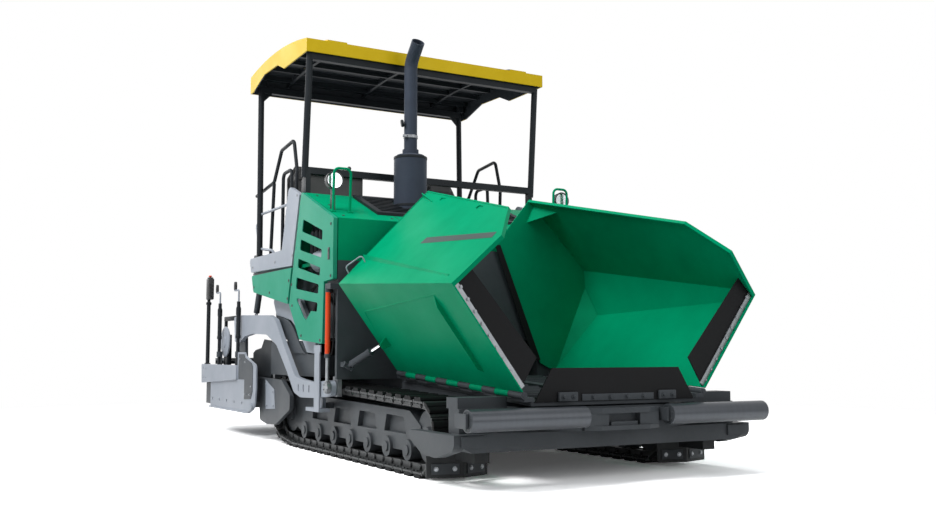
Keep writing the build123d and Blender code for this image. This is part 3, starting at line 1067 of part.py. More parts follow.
# corners of a tow arm, (x, z, radius)
ARM_OUTLINE = (
    (TOW_X + 45, 635, 55), (416, 605, 60), (149, 622, 120), (-38, 643, 160), (-365, 921, 200),
    (-628, 1163, 160), (-804, 1209, 200),
    (-1816, 1242, 120), (-2010, 1225, 20), (-1960, 966, 20), (-1794, 959, 60), (-1618, 1016, 150),
    (-1347, 1041, 200),
    (-881, 1026, 200), (-572, 922, 160), (-272, 689, 200), (-68, 504, 120), (102, 467, 120), (439, 475, 60),
    (TOW_X + 45, 505, 55),
)
ARM_SLOTS = (46, 175, 317)   # x of the three slots in each arm
with BuildPart() as tow_arms:
    rounded_side_plate(ARM_OUTLINE, ARM_INNER_Y, ARM_OUTER_Y)
    for x in ARM_SLOTS:
        with BuildSketch(Plane.XZ.offset(-ARM_INNER_Y + 1)) as slot:
            with Locations((x, 548)):
                SlotOverall(64, 22, rotation=90)
        extrude(slot.sketch, amount=-(ARM_OUTER_Y - ARM_INNER_Y) - 2, mode=Mode.SUBTRACT)
    # hole for the arm's cross shaft at the screed
    bar((TOW_X, ARM_INNER_Y - 1, TOW_Z), (TOW_X, ARM_OUTER_Y + 1, TOW_Z), TOW_PIN_RADIUS + PIN_FIT,
        mode=Mode.SUBTRACT)
    # boss that the lift cylinder pulls on
    bar((LIFT_EYE[0], ARM_INNER_Y, LIFT_EYE[1]), (LIFT_EYE[0], LIFT_Y + 20, LIFT_EYE[1]), 35)
    mirror(about=Plane.XZ)

with BuildPart() as track_guards:
    rounded_side_plate(
        [(-1243, 610, 30), (-1215, 198, 40), (-984, 168, 60), (-723, 178, 60), (-322, 340, 30),
         (-322, 470, 30), (-560, 600, 40)],
        shoe_outer_y + SWING_GAP, ARM_INNER_Y - SWING_GAP,
    )
    block((-1045, CHASSIS_REAR_X - SEAT_GAP), (560, shoe_outer_y + SWING_GAP + 4), (380, 555))
    mirror(about=Plane.XZ)

# guides that the tow arms rise and fall along, outside each arm
GUIDE_POST_X = (495, 610)
GUIDE_FOOT, GUIDE_HEAD = 365, 915
GUIDE_FOOT_PLATE = 30        # passes under the arm, clear of its lowest pose
with BuildPart() as arm_guides:
    guide_post_y = (ARM_OUTER_Y + SWING_GAP, ARM_OUTER_Y + 20)
    block((GUIDE_ARM_X[0], 515), (GUIDE_INNER_Y + SEAT_GAP, ARM_INNER_Y - SWING_GAP), (GUIDE_FOOT, 480))
    block((300, GUIDE_POST_X[1]), (GUIDE_INNER_Y + SEAT_GAP, guide_post_y[1]),
          (GUIDE_FOOT, GUIDE_FOOT + GUIDE_FOOT_PLATE))
    block(GUIDE_POST_X, guide_post_y, (GUIDE_FOOT, GUIDE_HEAD - 20))
    rounded_side_plate(
        [(GUIDE_POST_X[0] - 18, GUIDE_HEAD - 60, 8), (GUIDE_POST_X[1] + 18, GUIDE_HEAD - 60, 8),
         (GUIDE_POST_X[1] + 18, GUIDE_HEAD, 8),
         (GUIDE_POST_X[0] - 18, GUIDE_HEAD, 8)],
        *guide_post_y,
    )
    mirror(about=Plane.XZ)

# ---------------------------------------------------------------- wing cylinders
WING_BARREL_RADIUS, WING_ROD_RADIUS = 28, 14
WING_BARREL_LENGTH = 285     # from its foot pin
WING_ROD_INSIDE = 150        # length of rod inside the barrel at rest
WING_NECK_RADIUS, WING_EYE_RADIUS = 13, 19
barrel_way = Vector(*WING_CYLINDER_EYE) - Vector(*WING_CYLINDER_FOOT)
with BuildPart() as wing_cylinder_barrel_left:
    # turned section, (along the cylinder from the middle of its foot, radius)
    with BuildSketch(Plane(origin=WING_CYLINDER_FOOT, x_dir=barrel_way,
                           z_dir=barrel_way.cross(Vector(0, 0, 1)))):
        with BuildLine():
            Polyline(
                (0, 0), (0, WING_NECK_RADIUS), (48, WING_NECK_RADIUS), (48, WING_BARREL_RADIUS),
                (WING_BARREL_LENGTH - 30, WING_BARREL_RADIUS),
                (WING_BARREL_LENGTH - 28, WING_BARREL_RADIUS + 3),
                (WING_BARREL_LENGTH, WING_BARREL_RADIUS + 3),
                (WING_BARREL_LENGTH, WING_ROD_RADIUS + PIN_FIT),
                (58, WING_ROD_RADIUS + PIN_FIT), (58, 0), close=True,
            )
        make_face()
    revolve(axis=Axis(WING_CYLINDER_FOOT, barrel_way))
    bar(trunnion_point(-WING_TRUNNION_HALF), trunnion_point(WING_TRUNNION_HALF), WING_TRUNNION_RADIUS)
    bar(trunnion_point(-WING_EAR_OUTSIDE), trunnion_point(WING_EAR_OUTSIDE), WING_TRUNNION_PIN_RADIUS)

with BuildPart() as wing_cylinder_rod_left:
    eye_x, eye_y, eye_z = WING_CYLINDER_EYE
    bar(point_between(WING_CYLINDER_FOOT, WING_CYLINDER_EYE, WING_BARREL_LENGTH - WING_ROD_INSIDE),
        point_between(WING_CYLINDER_FOOT, WING_CYLINDER_EYE, barrel_way.length - 15), WING_ROD_RADIUS)
    bar((eye_x - 11, eye_y, eye_z), (eye_x + 11, eye_y, eye_z), WING_EYE_RADIUS)

with BuildPart() as wing_cylinder_barrel_right:
    mirror(wing_cylinder_barrel_left.part, about=Plane.XZ)
with BuildPart() as wing_cylinder_rod_right:
    mirror(wing_cylinder_rod_left.part, about=Plane.XZ)

# ---------------------------------------------------------------- screed lift cylinders
LIFT_BARREL_RADIUS, LIFT_ROD_RADIUS = 30, 16
LIFT_BARREL_LENGTH, LIFT_ROD_INSIDE = 310, 165
lift_top = (LIFT_TOP[0], LIFT_Y, LIFT_TOP[1])
lift_eye = (LIFT_EYE[0], LIFT_Y, LIFT_EYE[1])
lift_length = (Vector(*lift_eye) - Vector(*lift_top)).length
with BuildPart() as lift_cylinder_barrel_left:
    bar(lift_top, point_between(lift_top, lift_eye, LIFT_BARREL_LENGTH), LIFT_BARREL_RADIUS)
    eye_half = LIFT_EAR_INSIDE - PIN_FIT
    bar((lift_top[0], LIFT_Y - eye_half, lift_top[2]), (lift_top[0], LIFT_Y + eye_half, lift_top[2]),
        LIFT_BARREL_RADIUS - 2)
    bar(point_between(lift_top, lift_eye, 60), point_between(lift_top, lift_eye, LIFT_BARREL_LENGTH + 1),
        LIFT_ROD_RADIUS + PIN_FIT, mode=Mode.SUBTRACT)

with BuildPart() as lift_cylinder_rod_left:
    bar(point_between(lift_top, lift_eye, LIFT_BARREL_LENGTH - LIFT_ROD_INSIDE),
        point_between(lift_top, lift_eye, lift_length - 10), LIFT_ROD_RADIUS)
    bar((lift_eye[0], LIFT_Y - 13, lift_eye[2]), (lift_eye[0], LIFT_Y + 13, lift_eye[2]),
        2 * LIFT_ROD_RADIUS)

with BuildPart() as lift_cylinder_barrel_right:
    mirror(lift_cylinder_barrel_left.part, about=Plane.XZ)
with BuildPart() as lift_cylinder_rod_right:
    mirror(lift_cylinder_rod_left.part, about=Plane.XZ)

# ---------------------------------------------------------------- augers
AUGER_INNER_Y, AUGER_OUTER_Y = 90, 1105
AUGER_SHAFT_RADIUS, AUGER_HUB_RADIUS = 20, 45
AUGER_BLADES, AUGER_BLADE_PITCH, AUGER_BLADE_PLATE = 6, 160, 12
with BuildPart() as auger_gearbox:
    rounded_side_plate(
        [(AUGER_X - 60, AUGER_Z - 60, 50), (AUGER_X + 60, AUGER_Z - 60, 50),
         (CHASSIS_REAR_X - 60, CHASSIS_TOP - 60, 40),
         (CHASSIS_REAR_X, CHASSIS_TOP - 20, 5), (CHASSIS_REAR_X, 800, 5), (CHASSIS_REAR_X - 60, 800, 40),
         (AUGER_X - 60, AUGER_Z + 60, 50)],
        -70, 70,
    )
    block((CHASSIS_REAR_X - 20, CHASSIS_REAR_X), (-1000, 1000), (CHASSIS_TOP, TUNNEL_FLOOR))
    bar((AUGER_X, -AUGER_OUTER_Y - 5, AUGER_Z), (AUGER_X, AUGER_OUTER_Y + 5, AUGER_Z), AUGER_SHAFT_RADIUS)

with BuildPart() as auger_left:
    bar((AUGER_X, AUGER_INNER_Y, AUGER_Z), (AUGER_X, AUGER_OUTER_Y, AUGER_Z), AUGER_HUB_RADIUS)
    # tilted blades, turned by a half from one to the next
    for number in range(AUGER_BLADES):
        y = 2 * AUGER_INNER_Y + number * AUGER_BLADE_PITCH
        tilt = Vector(0.25 * (-1) ** number, 1, 0).normalized()
        bar((AUGER_X, y, AUGER_Z), tuple(Vector(AUGER_X, y, AUGER_Z) + tilt * AUGER_BLADE_PLATE),
            AUGER_RADIUS)
    bar((AUGER_X, AUGER_INNER_Y - 1, AUGER_Z), (AUGER_X, AUGER_OUTER_Y + 1, AUGER_Z),
        AUGER_SHAFT_RADIUS + PIN_FIT,
        mode=Mode.SUBTRACT)

with BuildPart() as auger_right:
    mirror(auger_left.part, about=Plane.XZ)

# ---------------------------------------------------------------- screed
GUIDE_X, GUIDE_RADIUS = -2390, 32
GUIDE_Z_LEFT, GUIDE_Z_RIGHT = 600, 480
GUIDE_BEARING_Y = SCREED_HALF_WIDTH - 110
with BuildPart() as screed_body:
    rounded_side_plate(
        [
            (SCREED_FRONT_X, SCREED_BOTTOM + 60, 20), (SCREED_FRONT_X, SCREED_TOP, 40),
            (SCREED_REAR_X, SCREED_TOP, 20),
            (SCREED_REAR_X, SCREED_BOTTOM, 5), (SCREED_FRONT_X - 60, SCREED_BOTTOM, 25),
        ],
        -SCREED_HALF_WIDTH, SCREED_HALF_WIDTH,
    )
    for y in (-GUIDE_BEARING_Y, -150, 150, GUIDE_BEARING_Y):
        block((GUIDE_X - 45, SCREED_REAR_X), (y - 30, y + 30), (430, 650))
        for z in (GUIDE_Z_LEFT, GUIDE_Z_RIGHT):
            bar((GUIDE_X, y - 31, z), (GUIDE_X, y + 31, z), GUIDE_RADIUS + PIN_FIT, mode=Mode.SUBTRACT)
    # towers that the tow arms are bolted to
    for side in (-1, 1):
        rounded_side_plate(
            [(-2010, SCREED_TOP - 50, 5), (-1700, SCREED_TOP - 50, 5), (-1740, 1150, 40), (-1820, 1200, 40),
             (-1990, 1200, 30)],
            side * (ARM_INNER_Y - 30), side * (ARM_INNER_Y - SEAT_GAP),
        )

WALKWAY_HALF_WIDTH = SCREED_HALF_WIDTH - 80
WALKWAY_FOOT, WALKWAY_TOP = 762, 790
with BuildPart() as screed_walkway:
    block((REAR_X, -2350), (-WALKWAY_HALF_WIDTH, WALKWAY_HALF_WIDTH), (WALKWAY_FOOT, WALKWAY_TOP))
    block((-2350, -2230), (-WALKWAY_HALF_WIDTH, WALKWAY_HALF_WIDTH), (SCREED_TOP, WALKWAY_TOP))
    # folded edge at the rear
    block((REAR_X, REAR_X + 12), (-WALKWAY_HALF_WIDTH, WALKWAY_HALF_WIDTH),
          (WALKWAY_FOOT - 40, WALKWAY_FOOT))

extension_end_y = GATE_INNER_Y - 14
sleeve_y = GATE_INNER_Y + 7
EXTENSION_INNER_Y = 20
POST_SLEEVE_Z = (805, 865)
CRANK_POST_XS = (-2456, -1734)
CRANK_POST_RADIUS = 18
END_BOLT_X, END_BOLT_Z = -2960, 625
END_BOLT_SPACING_X, END_BOLT_SPACING_Z, END_BOLT_RADIUS = 120, 105, 11
guide_stop_y = SCREED_HALF_WIDTH - 80
with BuildPart() as screed_extension_left:
    block((EXTENSION_REAR_X, EXTENSION_FRONT_X), (EXTENSION_INNER_Y, extension_end_y),
          (SCREED_BOTTOM, SCREED_TOP - 20))
    block((EXTENSION_FRONT_X - 1, SCREED_FRONT_X), (extension_end_y - 10, extension_end_y),
          (SCREED_BOTTOM, SCREED_TOP - 20))
    block((EXTENSION_FRONT_X - 1, GUIDE_X + 40), (extension_end_y - 36, extension_end_y),
          (GUIDE_Z_LEFT - 60, GUIDE_Z_LEFT + 60))
    bar((GUIDE_X, extension_end_y, GUIDE_Z_LEFT), (GUIDE_X, -guide_stop_y, GUIDE_Z_LEFT), GUIDE_RADIUS)
    for x in CRANK_POST_XS:
        block((x - 25, x + 25), (extension_end_y - 10, extension_end_y),
              (SCREED_TOP - 21, POST_SLEEVE_Z[1]))
        bar((x, sleeve_y, POST_SLEEVE_Z[0]), (x, sleeve_y, POST_SLEEVE_Z[1]), CRANK_POST_RADIUS + 9)
        bar((x, sleeve_y, POST_SLEEVE_Z[0] - 1), (x, sleeve_y, POST_SLEEVE_Z[1] + 1),
            CRANK_POST_RADIUS + PIN_FIT,
            mode=Mode.SUBTRACT)

with BuildPart() as screed_extension_right:
    mirror(screed_extension_left.part, about=Plane.XZ)
    # the right-hand guide tube lies below the left-hand one
    bar((GUIDE_X, -extension_end_y + 36, GUIDE_Z_LEFT), (GUIDE_X, guide_stop_y + 1, GUIDE_Z_LEFT),
        GUIDE_RADIUS + 1,
        mode=Mode.SUBTRACT)
    block((EXTENSION_FRONT_X - 1, GUIDE_X + 40), (-extension_end_y, 36 - extension_end_y),
          (GUIDE_Z_RIGHT - 60, GUIDE_Z_LEFT - 40))
    bar((GUIDE_X, -extension_end_y, GUIDE_Z_RIGHT), (GUIDE_X, guide_stop_y, GUIDE_Z_RIGHT), GUIDE_RADIUS)

GATE_HOLES = (-2655, -2375, -2091, -1804, -1520, -1226)      # x of the holes above the skid
GATE_HOLE_Z, GATE_HOLE_RADIUS = 348, 16
CRANK_TOPS = (1512, 1501)
with BuildPart() as end_gate_left:
    gate_outer_y = GATE_INNER_Y + GATE_PLATE
    rounded_side_plate(
        [
            (GATE_REAR_X, 260, 10), (-1290, 255, 60), (GATE_FRONT_X - 30, 330, 60), (GATE_FRONT_X, 500, 60),
            (-1064, 731, 60),
            (-1414, 820, 60), (-1455, 858, 20), (-1700, 858, 20), (-1700, 575, 10), (GATE_REAR_X, 575, 20),
        ],
        GATE_INNER_Y, gate_outer_y,
    )
    for x in GATE_HOLES:
        bar((x, GATE_INNER_Y - 1, GATE_HOLE_Z), (x, gate_outer_y + 1, GATE_HOLE_Z), GATE_HOLE_RADIUS,
            mode=Mode.SUBTRACT)
    # skid along the foot, curled up in front
    rounded_side_plate(
        [
            (GATE_REAR_X, 254, 3), (-1290, 254, 60), (GATE_FRONT_X - 28, 318, 30),
            (GATE_FRONT_X - 100, 365, 4),
            (GATE_FRONT_X - 108, 352, 4), (GATE_FRONT_X - 62, 322, 20), (-1292, 268, 46),
            (GATE_REAR_X, 268, 3),
        ],
        GATE_INNER_Y, HALF_WIDTH,
    )
    # silver beam along the gate
    rounded_side_plate([(-3099, 724, 12), (-3080, 512, 12), (-1681, 579, 12), (-1693, 724, 12)],
                       gate_outer_y, HALF_WIDTH)
    # bolt holes for a wider screed
    for x in (END_BOLT_X - END_BOLT_SPACING_X / 2, END_BOLT_X + END_BOLT_SPACING_X / 2):
        for z in (END_BOLT_Z - END_BOLT_SPACING_Z / 2, END_BOLT_Z + END_BOLT_SPACING_Z / 2):
            bar((x, GATE_INNER_Y, z), (x, HALF_WIDTH + 1, z), END_BOLT_RADIUS, mode=Mode.SUBTRACT)
    for x, top in zip(CRANK_POST_XS, CRANK_TOPS):
        bar((x, sleeve_y, 650), (x, sleeve_y, top - 120), CRANK_POST_RADIUS)
        tube([(x, sleeve_y, top - 121), (x, sleeve_y, top), (x - 140, sleeve_y, top)], 9, 25)
        bar((x - 130, sleeve_y, top - 2), (x - 130, sleeve_y, top + 90), 13)

with BuildPart() as end_gate_right:
    mirror(end_gate_left.part, about=Plane.XZ)

# ---------------------------------------------------------------- write
NODES = {
    "chassis_frame": chassis_frame,
    "front_crossbeam": front_crossbeam,
    "track_deflectors": track_deflectors,
    "crawler_track_right": crawler_track_right,
    "crawler_track_left": crawler_track_left,
    "track_frame_right": track_frame_right,
    "track_frame_left": track_frame_left,
    "roller_beam": roller_beam,
    "push_roller_right": push_roller_right,
    "push_roller_left": push_roller_left,
    "hopper_floor": hopper_floor,
    "hopper_bulkhead": hopper_bulkhead,
    "hopper_wing_right": hopper_wing_right,
    "hopper_wing_left": hopper_wing_left,
    "wing_apron_right": wing_apron_right,
    "wing_apron_left": wing_apron_left,
    "apron_strip_right": apron_strip_right,
    "apron_strip_left": apron_strip_left,
    "centre_apron": centre_apron,
    "engine_block": engine_block,
    "hood": hood,
    "radiator_grille": radiator_grille,
    "exhaust": exhaust,
    "side_covers": side_covers,
    "rear_skirts": rear_skirts,
    "chassis_covers": chassis_covers,
    "side_guards": side_guards,
    "side_door_right": side_door_right,
    "side_door_left": side_door_left,
    "operator_platform": operator_platform,
    "control_console": control_console,
    "operator_seats": operator_seats,
    "canopy_roof": canopy_roof,
    "canopy_lining": canopy_lining,
    "canopy_posts": canopy_posts,
    "handrails": handrails,
    "headlamps": headlamps,
    "lamp_guards": lamp_guards,
    "levelling_cylinders": levelling_cylinders,
    "wing_cylinder_barrel_right": wing_cylinder_barrel_right,
    "wing_cylinder_barrel_left": wing_cylinder_barrel_left,
    "wing_cylinder_rod_right": wing_cylinder_rod_right,
    "wing_cylinder_rod_left": wing_cylinder_rod_left,
    "lift_cylinder_barrel_right": lift_cylinder_barrel_right,
    "lift_cylinder_barrel_left": lift_cylinder_barrel_left,
    "lift_cylinder_rod_right": lift_cylinder_rod_right,
    "lift_cylinder_rod_left": lift_cylinder_rod_left,
    "tow_points": tow_points,
    "tow_arms": tow_arms,
    "arm_guides": arm_guides,
    "track_guards": track_guards,
    "auger_gearbox": auger_gearbox,
    "auger_right": auger_right,
    "auger_left": auger_left,
    "screed_body": screed_body,
    "screed_walkway": screed_walkway,
    "screed_extension_right": screed_extension_right,
    "screed_extension_left": screed_extension_left,
    "end_gate_right": end_gate_right,
    "end_gate_left": end_gate_left,
}
os.makedirs("parts", exist_ok=True)
for name, piece in NODES.items():
    piece.part.label = name
    export_step(piece.part, f"parts/{name}.step")
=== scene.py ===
"""Finishes, trim and studio stage of a tracked asphalt paver, laid out as a Blender add-on.

Lengths are in metres. X points in the travel direction, Y to the machine's left and Z up.
"""
import json
import math
import bmesh
import bpy
from bpy.props import FloatProperty, IntProperty, PointerProperty, StringProperty
from mathutils import Matrix, Vector
from mathutils.bvhtree import BVHTree


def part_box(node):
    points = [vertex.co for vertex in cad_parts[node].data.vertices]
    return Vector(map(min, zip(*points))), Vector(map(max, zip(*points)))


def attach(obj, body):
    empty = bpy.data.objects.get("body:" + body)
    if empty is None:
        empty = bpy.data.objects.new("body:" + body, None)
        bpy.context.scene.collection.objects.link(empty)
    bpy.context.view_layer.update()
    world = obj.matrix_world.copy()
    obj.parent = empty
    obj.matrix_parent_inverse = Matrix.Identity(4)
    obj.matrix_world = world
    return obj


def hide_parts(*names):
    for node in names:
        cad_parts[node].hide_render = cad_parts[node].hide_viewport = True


bl_info = {
    "name": "Tracked asphalt paver",
    "version": (1, 0, 0),
    "blender": (4, 5, 0),
    "location": "View3D > Sidebar > Paver",
    "description": "Finishes, trim and studio stage of a tracked asphalt paver",
    "category": "Object",
}

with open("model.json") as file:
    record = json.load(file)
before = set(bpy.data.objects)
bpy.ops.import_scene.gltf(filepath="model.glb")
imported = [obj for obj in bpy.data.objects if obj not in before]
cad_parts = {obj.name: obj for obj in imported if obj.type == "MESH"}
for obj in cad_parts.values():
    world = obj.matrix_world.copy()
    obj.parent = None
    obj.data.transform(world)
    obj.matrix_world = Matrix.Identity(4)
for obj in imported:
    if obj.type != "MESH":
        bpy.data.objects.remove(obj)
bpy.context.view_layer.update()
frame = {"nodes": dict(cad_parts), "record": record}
NODES = frame["nodes"]
FOAM_VOXEL, QUICK_VOXEL = 0.006, 0.015
SHARP_EDGE = math.radians(35)             # edges that turn more than this stay sharp
AIR = 0.0005                              # gap under trim laid on a surface, so that faces don't coincide
RAY_START = 0.5                           # how far before a surface the rays start that look for it
CRANK_POST = (0.87, 1.41)                 # heights between which the posts of the cranks are black
SLEEVE_FOOT = 1.0                         # foot of the cranks' sleeves, above the extensions at the gates' top
CLOTH_PRESSURE = 4.0                      # that fills the seat pads
CLOTH_FRAMES = 20                         # until the pads have settled
FLOOR_HALF = 60.0                         # half the floor's width
FLOOR_NEAR, FLOOR_FAR = 4.0, 9.0          # the floor blends into the backdrop between these distances
# name, place, target, width and share of the key light's power
LIGHTS = (
    ("key_light", (1.5, -8.0, 10.0), (0.0, 0.0, 1.4), 6.0, 1.45),
    ("fill_light", (11.0, 3.5, 5.0), (0.5, 0.0, 1.2), 6.0, 0.3),
    ("top_light", (0.0, 0.0, 10.0), (0.0, 0.0, 0.0), 8.0, 0.5),
    ("rim_light", (-9.0, -2.0, 5.0), (0.0, 0.0, 1.4), 5.0, 0.25),
)
# low three-quarter view from the front right
CAMERA_PLACE = (8.339, -4.124, 0.8555)
CAMERA_RIGHT = (0.48557, 0.87420, 0.0)
CAMERA_FORWARD = (-0.87066, 0.48360, 0.089905)


# ---------------------------------------------------------------- shader helpers
def linear(hex_colour):
    """The sRGB hex value as a linear colour with alpha."""
    channels = [int(hex_colour[start:start + 2], 16) / 255 for start in (1, 3, 5)]
    return [c / 12.92 if c <= 0.04045 else ((c + 0.055) / 1.055) ** 2.4 for c in channels] + [1.0]


def set_inputs(tree, node, inputs):
    """Set a node's own sockets by name, as values or as (node, output) links."""
    for name, value in inputs.items():
        if isinstance(value, tuple) and isinstance(value[0], bpy.types.Node):
            tree.links.new(value[0].outputs[value[1]], node.inputs[name])
        else:
            node.inputs[name].default_value = value


def add_node(tree, kind, inputs=None, **settings):
    """Add a node with its inputs and its settings."""
    node = tree.nodes.new(kind)
    for name, value in settings.items():
        setattr(node, name, value)
    set_inputs(tree, node, inputs or {})
    return node


def per_metre(millimetres):
    """Texture scale whose features are this many millimetres apart."""
    return 1000 / millimetres


def new_material(name):
    """An empty node material with its shader and object coordinates."""
    material = bpy.data.materials.new(name)
    material.use_nodes = True
    tree = material.node_tree
    tree.nodes.clear()
    shader = add_node(tree, "ShaderNodeBsdfPrincipled")
    add_node(tree, "ShaderNodeOutputMaterial", {"Surface": (shader, "BSDF")})
    return material, tree, shader, (add_node(tree, "ShaderNodeTexCoord"), "Object")


def noise(tree, place, spacing, detail, roughness=0.5):
    """Cloudy noise with features this many millimetres apart, as an output."""
    return add_node(tree, "ShaderNodeTexNoise", {"Vector": place, "Scale": per_metre(spacing), "Detail": detail,
                                                 "Roughness": roughness}), "Fac"


def ranged(tree, value, low, high, start=0.0, end=1.0):
    """The value's range from start to end laid over low to high, as an output."""
    return add_node(tree, "ShaderNodeMapRange", {"Value": value, "From Min": start, "From Max": end, "To Min": low,
                                                 "To Max": high}), "Result"


def mixed_colour(tree, factor, first, second):
    """A colour that goes from the first hex value or output to the second hex value, as an output."""
    start = linear(first) if isinstance(first, str) else first
    return add_node(tree, "ShaderNodeMix", {0: factor, 6: start, 7: linear(second)}, data_type="RGBA"), 2


def soft_edge(tree, radius):
    """Normals that round sharp edges off to a radius in metres, as an output."""
    return add_node(tree, "ShaderNodeBevel", {"Radius": radius}, samples=4), "Normal"


def relief(tree, height, strength, distance, normal=None):
    """Normals of a height pattern, laid over other normals if given, as an output."""
    inputs = {"Height": height, "Strength": strength, "Distance": distance}
    if normal:
        inputs["Normal"] = normal
    return add_node(tree, "ShaderNodeBump", inputs), "Normal"


# short name -> socket of the principled shader
SOCKETS = {"metallic": "Metallic", "ior": "IOR", "specular": "Specular IOR Level", "sheen": "Sheen Weight"}


def clouded(name, pattern, colours, glosses, normals=None, **constants):
    """A material whose colour and roughness follow one cloudy noise, given by its spacing and detail.

    The function normals makes its relief from the tree and the place, if given.
    """
    material, tree, shader, place = new_material(name)
    clouds = noise(tree, place, *pattern)
    set_inputs(tree, shader, {SOCKETS[socket]: value for socket, value in constants.items()})
    set_inputs(tree, shader, {"Base Color": mixed_colour(tree, clouds, *colours),
                              "Roughness": ranged(tree, clouds, *glosses)})
    if normals:
        set_inputs(tree, shader, {"Normal": normals(tree, place)})
    return material


# ---------------------------------------------------------------- finishes
def sprayed_enamel(name, colour, shade, roughness, specular=0.12, film_of_dust=0.12, coat=0.0):
    """Polyurethane enamel sprayed on steel sheet: an even colour with a soft orange peel.

    The eye sees a clear highlight that wavers a little, sheet that isn't quite flat, and a
    faint film of dust towards the ground.
    """
    material, tree, shader, place = new_material(name)
    clouds = noise(tree, place, 350, 4.0, 0.6)
    paint = mixed_colour(tree, ranged(tree, clouds, 0.0, 1.0, 0.35, 0.7), colour, shade)
    height = add_node(tree, "ShaderNodeSeparateXYZ", {"Vector": place}), "Z"
    dust = add_node(tree, "ShaderNodeMath", {0: ranged(tree, height, film_of_dust, 0.0, 0.1, 0.9),
                                             1: noise(tree, place, 25, 6.0, 0.7)}, operation="MULTIPLY"), "Value"
    wave = relief(tree, noise(tree, place, 600, 1.0), 0.25, 0.01, soft_edge(tree, 0.004))
    set_inputs(tree, shader, {
        "IOR": 1.5, "Specular IOR Level": specular, "Coat Weight": coat, "Coat Roughness": 0.12,
        "Base Color": mixed_colour(tree, dust, paint, "#8A8378"),
        "Roughness": ranged(tree, clouds, roughness - 0.04, roughness + 0.07, 0.3, 0.75),
        # orange peel is 2 mm across, drawn at 9 mm so that it shows
        "Normal": relief(tree, noise(tree, place, 9, 1.0), 0.05, 0.001, wave)})
    return material


def exhaust_paint():
    """Heat-proof silicone paint on a steel tube: blue-grey and dull, with darker clouds where it bakes."""
    return sprayed_enamel("heat_proof_silicone_paint", "#414957", "#3A414D", 0.5, film_of_dust=0.0)


def roller_steel():
    """Steel tube under thin grey enamel, polished by truck tyres: satin, with a long soft highlight."""
    material, tree, shader, place = new_material("tyre_polished_roller_enamel")
    # tyre marks run round the tube, 30 mm wide
    stretch = add_node(tree, "ShaderNodeMapping", {"Vector": place, "Scale": (2.0, per_metre(30), 2.0)}), "Vector"
    marks = noise(tree, stretch, 1000, 5.0)
    set_inputs(tree, shader, {
        "Metallic": 0.3, "Base Color": mixed_colour(tree, marks, "#383C42", "#444950"),
        "Roughness": ranged(tree, marks, 0.3, 0.36), "Normal": soft_edge(tree, 0.003)})
    return material


def scratches(tree, place):
    """Scratches along X, 0.5 mm apart, drawn 4 mm apart."""
    stretch = add_node(tree, "ShaderNodeMapping", {"Vector": place, "Scale": (6.0, per_metre(4), per_metre(4))})
    return relief(tree, noise(tree, (stretch, "Vector"), 1000, 2.0), 0.15, 0.001)


def cloth_print(tree, place):
    """Threads 1 mm apart, drawn 5 mm apart."""
    cloth = add_node(tree, "ShaderNodeTexChecker", {"Vector": place, "Scale": per_metre(5)})
    return relief(tree, (cloth, "Fac"), 0.12, 0.0006)


def leather_grain(tree, place):
    """Grain cells of 1.5 mm, drawn at 6 mm."""
    cells = add_node(tree, "ShaderNodeTexVoronoi", {"Vector": place, "Scale": per_metre(6)},
                     feature="DISTANCE_TO_EDGE")
    return relief(tree, (cells, "Distance"), 0.35, 0.0015)


def rolled_steel():
    """Hot-rolled wear steel, scoured by mix: grey with a blue mill scale and fine scratches."""
    return clouded("scoured_wear_steel", (60, 8.0, 0.65), ("#6C7075", "#9DA0A3"), (0.3, 0.55), scratches,
                   metallic=0.85)


def hard_chrome():
    """Ground and hard-chromed piston rod: mirror-like with a faint ring pattern."""
    return clouded("hard_chromed_rod", (8, 2.0), ("#E3E5E8", "#E3E5E8"), (0.06, 0.16), metallic=1.0)


def track_iron():
    """Forged track steel, oiled and dusty, with a coarse scale and pits 6 mm apart."""
    return clouded("forged_track_steel", (45, 8.0, 0.7), ("#222426", "#47494A"), (0.38, 0.62),
                   lambda tree, place: relief(tree, noise(tree, place, 6, 3.0), 0.3, 0.002, soft_edge(tree, 0.003)),
                   metallic=0.35)


def conveyor_rubber():
    """Black moulded sheet rubber with a dull bloom and a fine cloth impression."""
    return clouded("black_sheet_rubber", (180, 5.0), ("#0B0B0C", "#17181A"), (0.55, 0.7), cloth_print, ior=1.52,
                   specular=0.12)


def seat_vinyl():
    """Embossed black vinyl over foam: soft sheen with a leather grain."""
    return clouded("embossed_seat_vinyl", (120, 4.0), ("#17181A", "#2A2C2F"), (0.4, 0.55), leather_grain, ior=1.5,
                   sheen=0.2)


def moulded_plastic():
    """Black injection-moulded plastic with a spark-eroded grain, drawn 4 mm apart."""
    return clouded("black_moulded_abs", (90, 3.0), ("#1B1C1E", "#26282A"), (0.4, 0.55),
                   lambda tree, place: relief(tree, noise(tree, place, 4, 2.0), 0.12, 0.001, soft_edge(tree, 0.004)),
                   ior=1.53)


